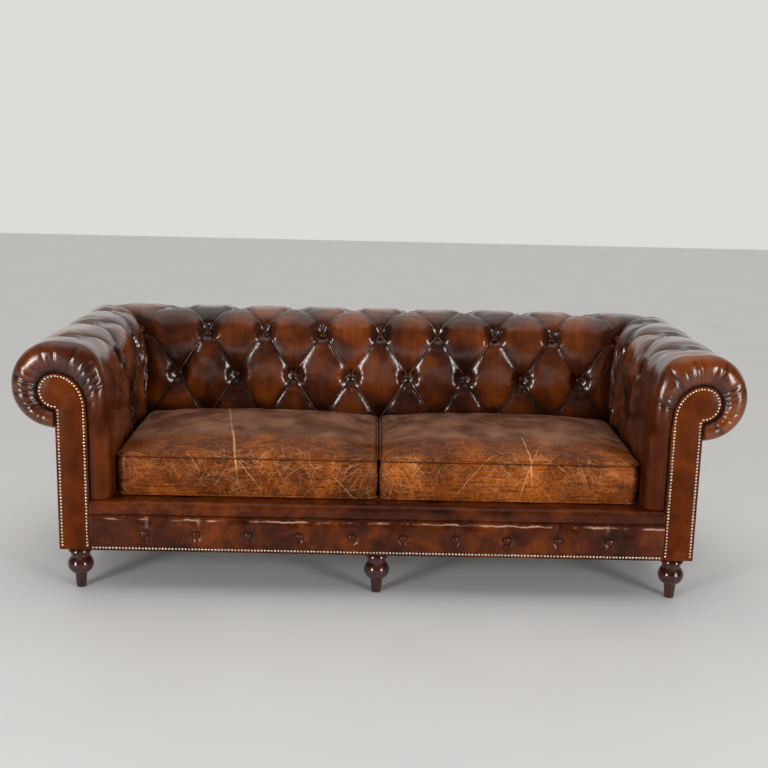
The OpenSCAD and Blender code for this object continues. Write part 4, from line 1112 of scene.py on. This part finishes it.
def cushion_ring(inset):
    """Closed plan outline of a cushion, inset from its edge: a rectangle with rounded corners.

    The points are spaced by their angle round the corners and by length along the sides.
    """
    w, d = HALF_W - inset, HALF_D - inset
    r = np.minimum(np.maximum(PLAN_R - inset, 0.006) + inset * 0.35, np.minimum(w, d))
    straight = PLAN_COUNT - 4 * CORNER_COUNT
    side_x = round(straight * HALF_W / (HALF_W + HALF_D) / 2)
    side_y = straight // 2 - side_x
    pts = []
    for cx, cy, a0, side in (
            (1, -1, -90, side_y), (1, 1, 0, side_x), (-1, 1, 90, side_y), (-1, -1, 180, side_x)):
        t = np.radians(a0 + 90 * np.arange(CORNER_COUNT) / (CORNER_COUNT - 1))
        pts.append(joined(cx * (w - r) + r * np.cos(t), cy * (d - r) + r * np.sin(t)))
        s = 1 - 2 * (np.arange(side) + 1) / (side + 1)
        pts.append(joined(cx * (w - r) * s, cy * d) if side == side_x else joined(cx * w, -cx * (d - r) * s))
    return np.concatenate(pts)


class SOFA_OT_cushions(bpy.types.Operator):
    """Two loose seat cushions, each with a crowned top, a boxed side and piping"""

    bl_idname = "sofa.cushions"
    bl_label = "Seat cushions"

    def execute(self, context):
        leather = cushion_leather()
        for side, seed in (("right", 71), ("left", 91)):
            for name, made, fill in (("leather", self.cover(seed), 0.75), ("piping_cord", self.piping(), None)):
                obj = new_object(f"cushion_{side}_{name}", *made, mirror=side == "left")
                node = "cover" if name == "leather" else "piping"
                finish_piece(obj, f"cushion_{side}", [f"cushion_{side}_{node}"], leather)
        return {"FINISHED"}

    def cover(self, seed):
        """Points and faces of the leather: plan outlines in under it, up its side and over its crown."""
        under = [(f * HALF_D, PAD_Z, 0) for f in (0.9, 0.6, 0.3, 0.1)] + [(SEAM_IN + 0.008, PAD_Z, 0)]
        t = np.linspace(0, 1, 34)
        bulge = np.sin(np.pi * t) ** 0.5
        boxing = [(SEAM_IN * (1 - b), SEAM_LOW + k * (SEAM_TOP - SEAM_LOW), 0) for k, b in zip(t, bulge)]
        top = []
        for k in np.linspace(0, 1, 60)[1:] ** 1.25:
            share = min(1, k / 0.02)
            top.append((SEAM_IN + k * (0.97 * HALF_D - SEAM_IN), SEAM_TOP + 0.008 * share ** 0.6, share))
        grid = []
        for inset, z, share in under + boxing + top:
            x, y = cushion_ring(inset).T
            rise = sizes().crown * (1 - np.abs(x / HALF_W) ** 3.8) * (1 - np.abs(y / HALF_D) ** 3.8)
            grid.append(joined(x, y, z + share * rise))
        grid = np.array(grid)
        rows, count = grid.shape[:2]
        crowned, boxed = grid[len(under) + len(t):], grid[len(under):len(under) + len(t)]
        x, y = crowned[..., 0], crowned[..., 1]
        edge = smooth((HALF_W - np.abs(x)) / 0.05) * smooth((HALF_D - np.abs(y)) / 0.05)
        crowned[..., 2] -= edge * 0.0014 * (1 + waves(x, y, seed, 9, 3, 12))
        cols = np.arange(count) / count
        wrinkle = 0.0011 * waves(cols * 2.2, boxed[..., 2] * 5, seed + 1, 9, 3, 12) * bulge[:, None]
        boxed[..., :2] *= 1 - (np.abs(wrinkle) / HALF_D)[..., None]
        grid += [MID_X, MID_Y, 0]
        points = np.concatenate([grid.reshape(-1, 3), [grid[0].mean(0), grid[-1].mean(0)]])
        return points, grid_faces(rows, count, wrap=True) + fans(rows, count, rows * count + 1, rows * count)

    def piping(self):
        """Points and faces of two rings of piping: a circle carried round the cushion's outline."""
        line = cushion_ring(PIPING_R) + [MID_X, MID_Y]
        step = np.roll(line, -1, 0) - np.roll(line, 1, 0)
        out = joined(step[:, 1], -step[:, 0]) / np.linalg.norm(step, axis=1)[:, None]
        t = np.arange(10)[:, None] * math.tau / 10
        x, y = np.moveaxis(line + PIPING_R * np.cos(t)[..., None] * out, -1, 0)
        points = np.array([joined(x, y, z + PIPING_R * np.sin(t)) for z in (SEAM_LOW, SEAM_TOP)])
        faces = [grid_faces(*x.shape, first, wrap=True, ring=True) for first in (0, x.size)]
        return points, faces[0] + faces[1]


class SOFA_OT_deck(bpy.types.Operator):
    """Cloth of the seat deck under the cushions"""

    bl_idname = "sofa.deck"
    bl_label = "Seat deck"

    def execute(self, context):
        cloth = woven("deck cloth", (0.02, 0.018, 0.016, 1), (0.06, 0.055, 0.05, 1), 0.003)
        low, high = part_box("deck_cover")
        x, y = np.meshgrid(np.linspace(low.x, high.x, 130), np.linspace(low.y, high.y, 60))
        free = smooth((x - low.x) / 0.2) * smooth((high.x - x) / 0.2)
        z = high.z - 0.0008 * free * (1 + waves(x, y, 17, 6, 1, 4) / 2)
        inner = joined(*np.meshgrid([low.x, high.x], y[:, 0]), low.z)
        obj = skin("deck_cloth", joined(x, y, z), inner)
        finish_piece(obj, "frame", ["deck_cover", "deck_padding"], cloth)
        return {"FINISHED"}


class SOFA_OT_finishes(bpy.types.Operator):
    """Finishes of the pieces that stay as they are in the frame"""

    bl_idname = "sofa.finishes"
    bl_label = "Finishes"

    def execute(self, context):
        c = colours()
        outside = plain_leather("outside leather", c.leather_dark, c.leather_mid, c.leather_mid, 4)
        finish_of = {
            "timber": pale_wood("planed hardwood", (0.36, 0.23, 0.12, 1), (0.62, 0.45, 0.27, 1), (0.2, 1, 1)),
            "fibreboard": pale_wood("pressed board", (0.20, 0.12, 0.07, 1), (0.34, 0.22, 0.13, 1), (1, 1, 1)),
            "dark_cloth": woven("black cloth", (0.006, 0.006, 0.006, 1), (0.02, 0.02, 0.02, 1), 0.002),
            "webbing": woven("jute webbing", (0.25, 0.17, 0.09, 1), (0.5, 0.38, 0.23, 1), 0.004),
            "turned_wood": dark_wood(), "steel": steel(), "foam": foam(), "aged_brass": aged_brass(),
            "leather_brown": outside, "leather_buttons": outside, "leather_tan": cushion_leather(),
        }
        slots = {row["node"]: row["material_slot"] for row in frame["record"]["subparts"]}
        for name, node in frame["nodes"].items():
            if not node.hide_render:
                node.data.materials.clear()
                node.data.materials.append(finish_of[slots[name]])
        return {"FINISHED"}


# Stage


def placed(name, data, turn, where):
    """A lamp or the camera, in the scene with its turn and its place."""
    obj = bpy.data.objects.new(name, data)
    obj.matrix_world = Matrix([[*row, at] for row, at in zip(turn, where)] + [[0, 0, 0, 1]])
    bpy.context.scene.collection.objects.link(obj)
    return obj


class SOFA_OT_stage(bpy.types.Operator):
    """Floor, soft lights and the camera of the photograph"""

    bl_idname = "sofa.stage"
    bl_label = "Stage"

    def execute(self, context):
        n = Finish("studio floor")
        base = n.over(colours().floor, (0.61, 0.605, 0.60, 1), n.noise(1.2, 3), 0.3, 0.7, 0.3)
        corners = 12.0 * np.array([[-1, -1, 0], [1, -1, 0], [1, 1, 0], [-1, 1, 0]])
        floor = new_object("studio_floor", corners, [[0, 1, 2, 3]])
        floor.data.materials.append(n.surface(base, n.band(n.noise(3, 3), 0.3, 0.7, 0.5, 0.65)))
        self.sky(context.scene)
        for name, kind, where, power in (
                ("overhead", "SUN", (0.2, -0.6, 3.4), 0.5),
                ("front_fill", "SUN", (0.0, -5.0, 3.0), 0.25),
                ("window_left", "AREA", (-3.6, -4.4, 1.2), 175),
                ("window_right", "AREA", (3.7, -4.2, 1.2), 150)):
            lamp = bpy.data.lights.new(name, kind)
            lamp.energy = power
            aim_z = 0.4
            if kind == "SUN":
                lamp.angle = math.radians(50)
            else:
                lamp.shape, lamp.size, lamp.size_y = "RECTANGLE", 1.2, 2.2
                aim_z = 0.8
            obj = placed(name, lamp, facing(np.subtract(where, (0, 0, aim_z))), where)
            obj.visible_glossy = kind == "AREA"
        self.camera(context.scene)
        context.scene.view_settings.view_transform = "Standard"
        return {"FINISHED"}

    def sky(self, scene):
        """A world that is white behind the sofa, bright right above and dim in front, as in a room."""
        scene.world = bpy.data.worlds.new("studio")
        scene.world.use_nodes = True
        n = Nodes(scene.world.node_tree)
        way = n.node("TexCoord", {}, "Generated")
        behind = n.node("VectorMath", {0: way, 1: (0, 0.97, 0.24)}, "Value", operation="DOT_PRODUCT")
        level = n.add(n.band(behind, 0.05, 0.85, 0.09, 0.74), n.band(n.axis(way, "Z"), 0.72, 1.0, 0.0, 0.9))
        lit = n.node("Background", {0: (0.985, 0.965, 0.935, 1), 1: level})
        n.put(n.tree.nodes.new("ShaderNodeOutputWorld").inputs[0], lit)

    def camera(self, scene):
        """The photograph's viewpoint, from its fitted place, turn, tilt and roll."""
        turn, tilt, roll = 0.0117, -0.2124, 0.0233
        focal_px, frame_px, sensor = 1169.2, 768, 36.0
        ahead = np.array([math.sin(turn) * math.cos(tilt), math.cos(turn) * math.cos(tilt), math.sin(tilt)])
        right = np.array([math.cos(turn), -math.sin(turn), 0])
        up = np.cross(right, ahead)
        right, up = math.cos(roll) * right + math.sin(roll) * up, -math.sin(roll) * right + math.cos(roll) * up
        data = bpy.data.cameras.new("camera")
        data.lens = focal_px / frame_px * sensor
        data.sensor_width = sensor
        data.clip_start, data.clip_end = 0.05, 60
        scene.camera = placed("camera", data, np.stack([right, up, -ahead], 1), (-0.0317, -4.010, 1.462))


OPERATORS = (SOFA_OT_stage, SOFA_OT_back, SOFA_OT_arms, SOFA_OT_buttons, SOFA_OT_border, SOFA_OT_panels,
             SOFA_OT_nails, SOFA_OT_cushions, SOFA_OT_deck, SOFA_OT_finishes)


class SOFA_PT_panel(bpy.types.Panel):
    """The sofa's pieces"""

    bl_idname = "SOFA_PT_panel"
    bl_label = "Buttoned leather sofa"
    bl_space_type = "VIEW_3D"
    bl_region_type = "UI"
    bl_category = "Sofa"

    def draw(self, context):
        for group in (sizes(), colours()):
            for key in group.__annotations__:
                self.layout.prop(group, key)
        for op in OPERATORS:
            self.layout.operator(op.bl_idname)


CLASSES = (SofaSizes, SofaColours, *OPERATORS, SOFA_PT_panel)


def register():
    for cls in CLASSES:
        bpy.utils.register_class(cls)
    bpy.types.Scene.sofa_sizes = PointerProperty(type=SofaSizes)
    bpy.types.Scene.sofa_colours = PointerProperty(type=SofaColours)


def unregister():
    del bpy.types.Scene.sofa_sizes
    del bpy.types.Scene.sofa_colours
    for cls in reversed(CLASSES):
        bpy.utils.unregister_class(cls)


def main():
    register()
    for op in OPERATORS:
        group, name = op.bl_idname.split(".")
        getattr(getattr(bpy.ops, group), name)()


if __name__ == "__main__":
    main()
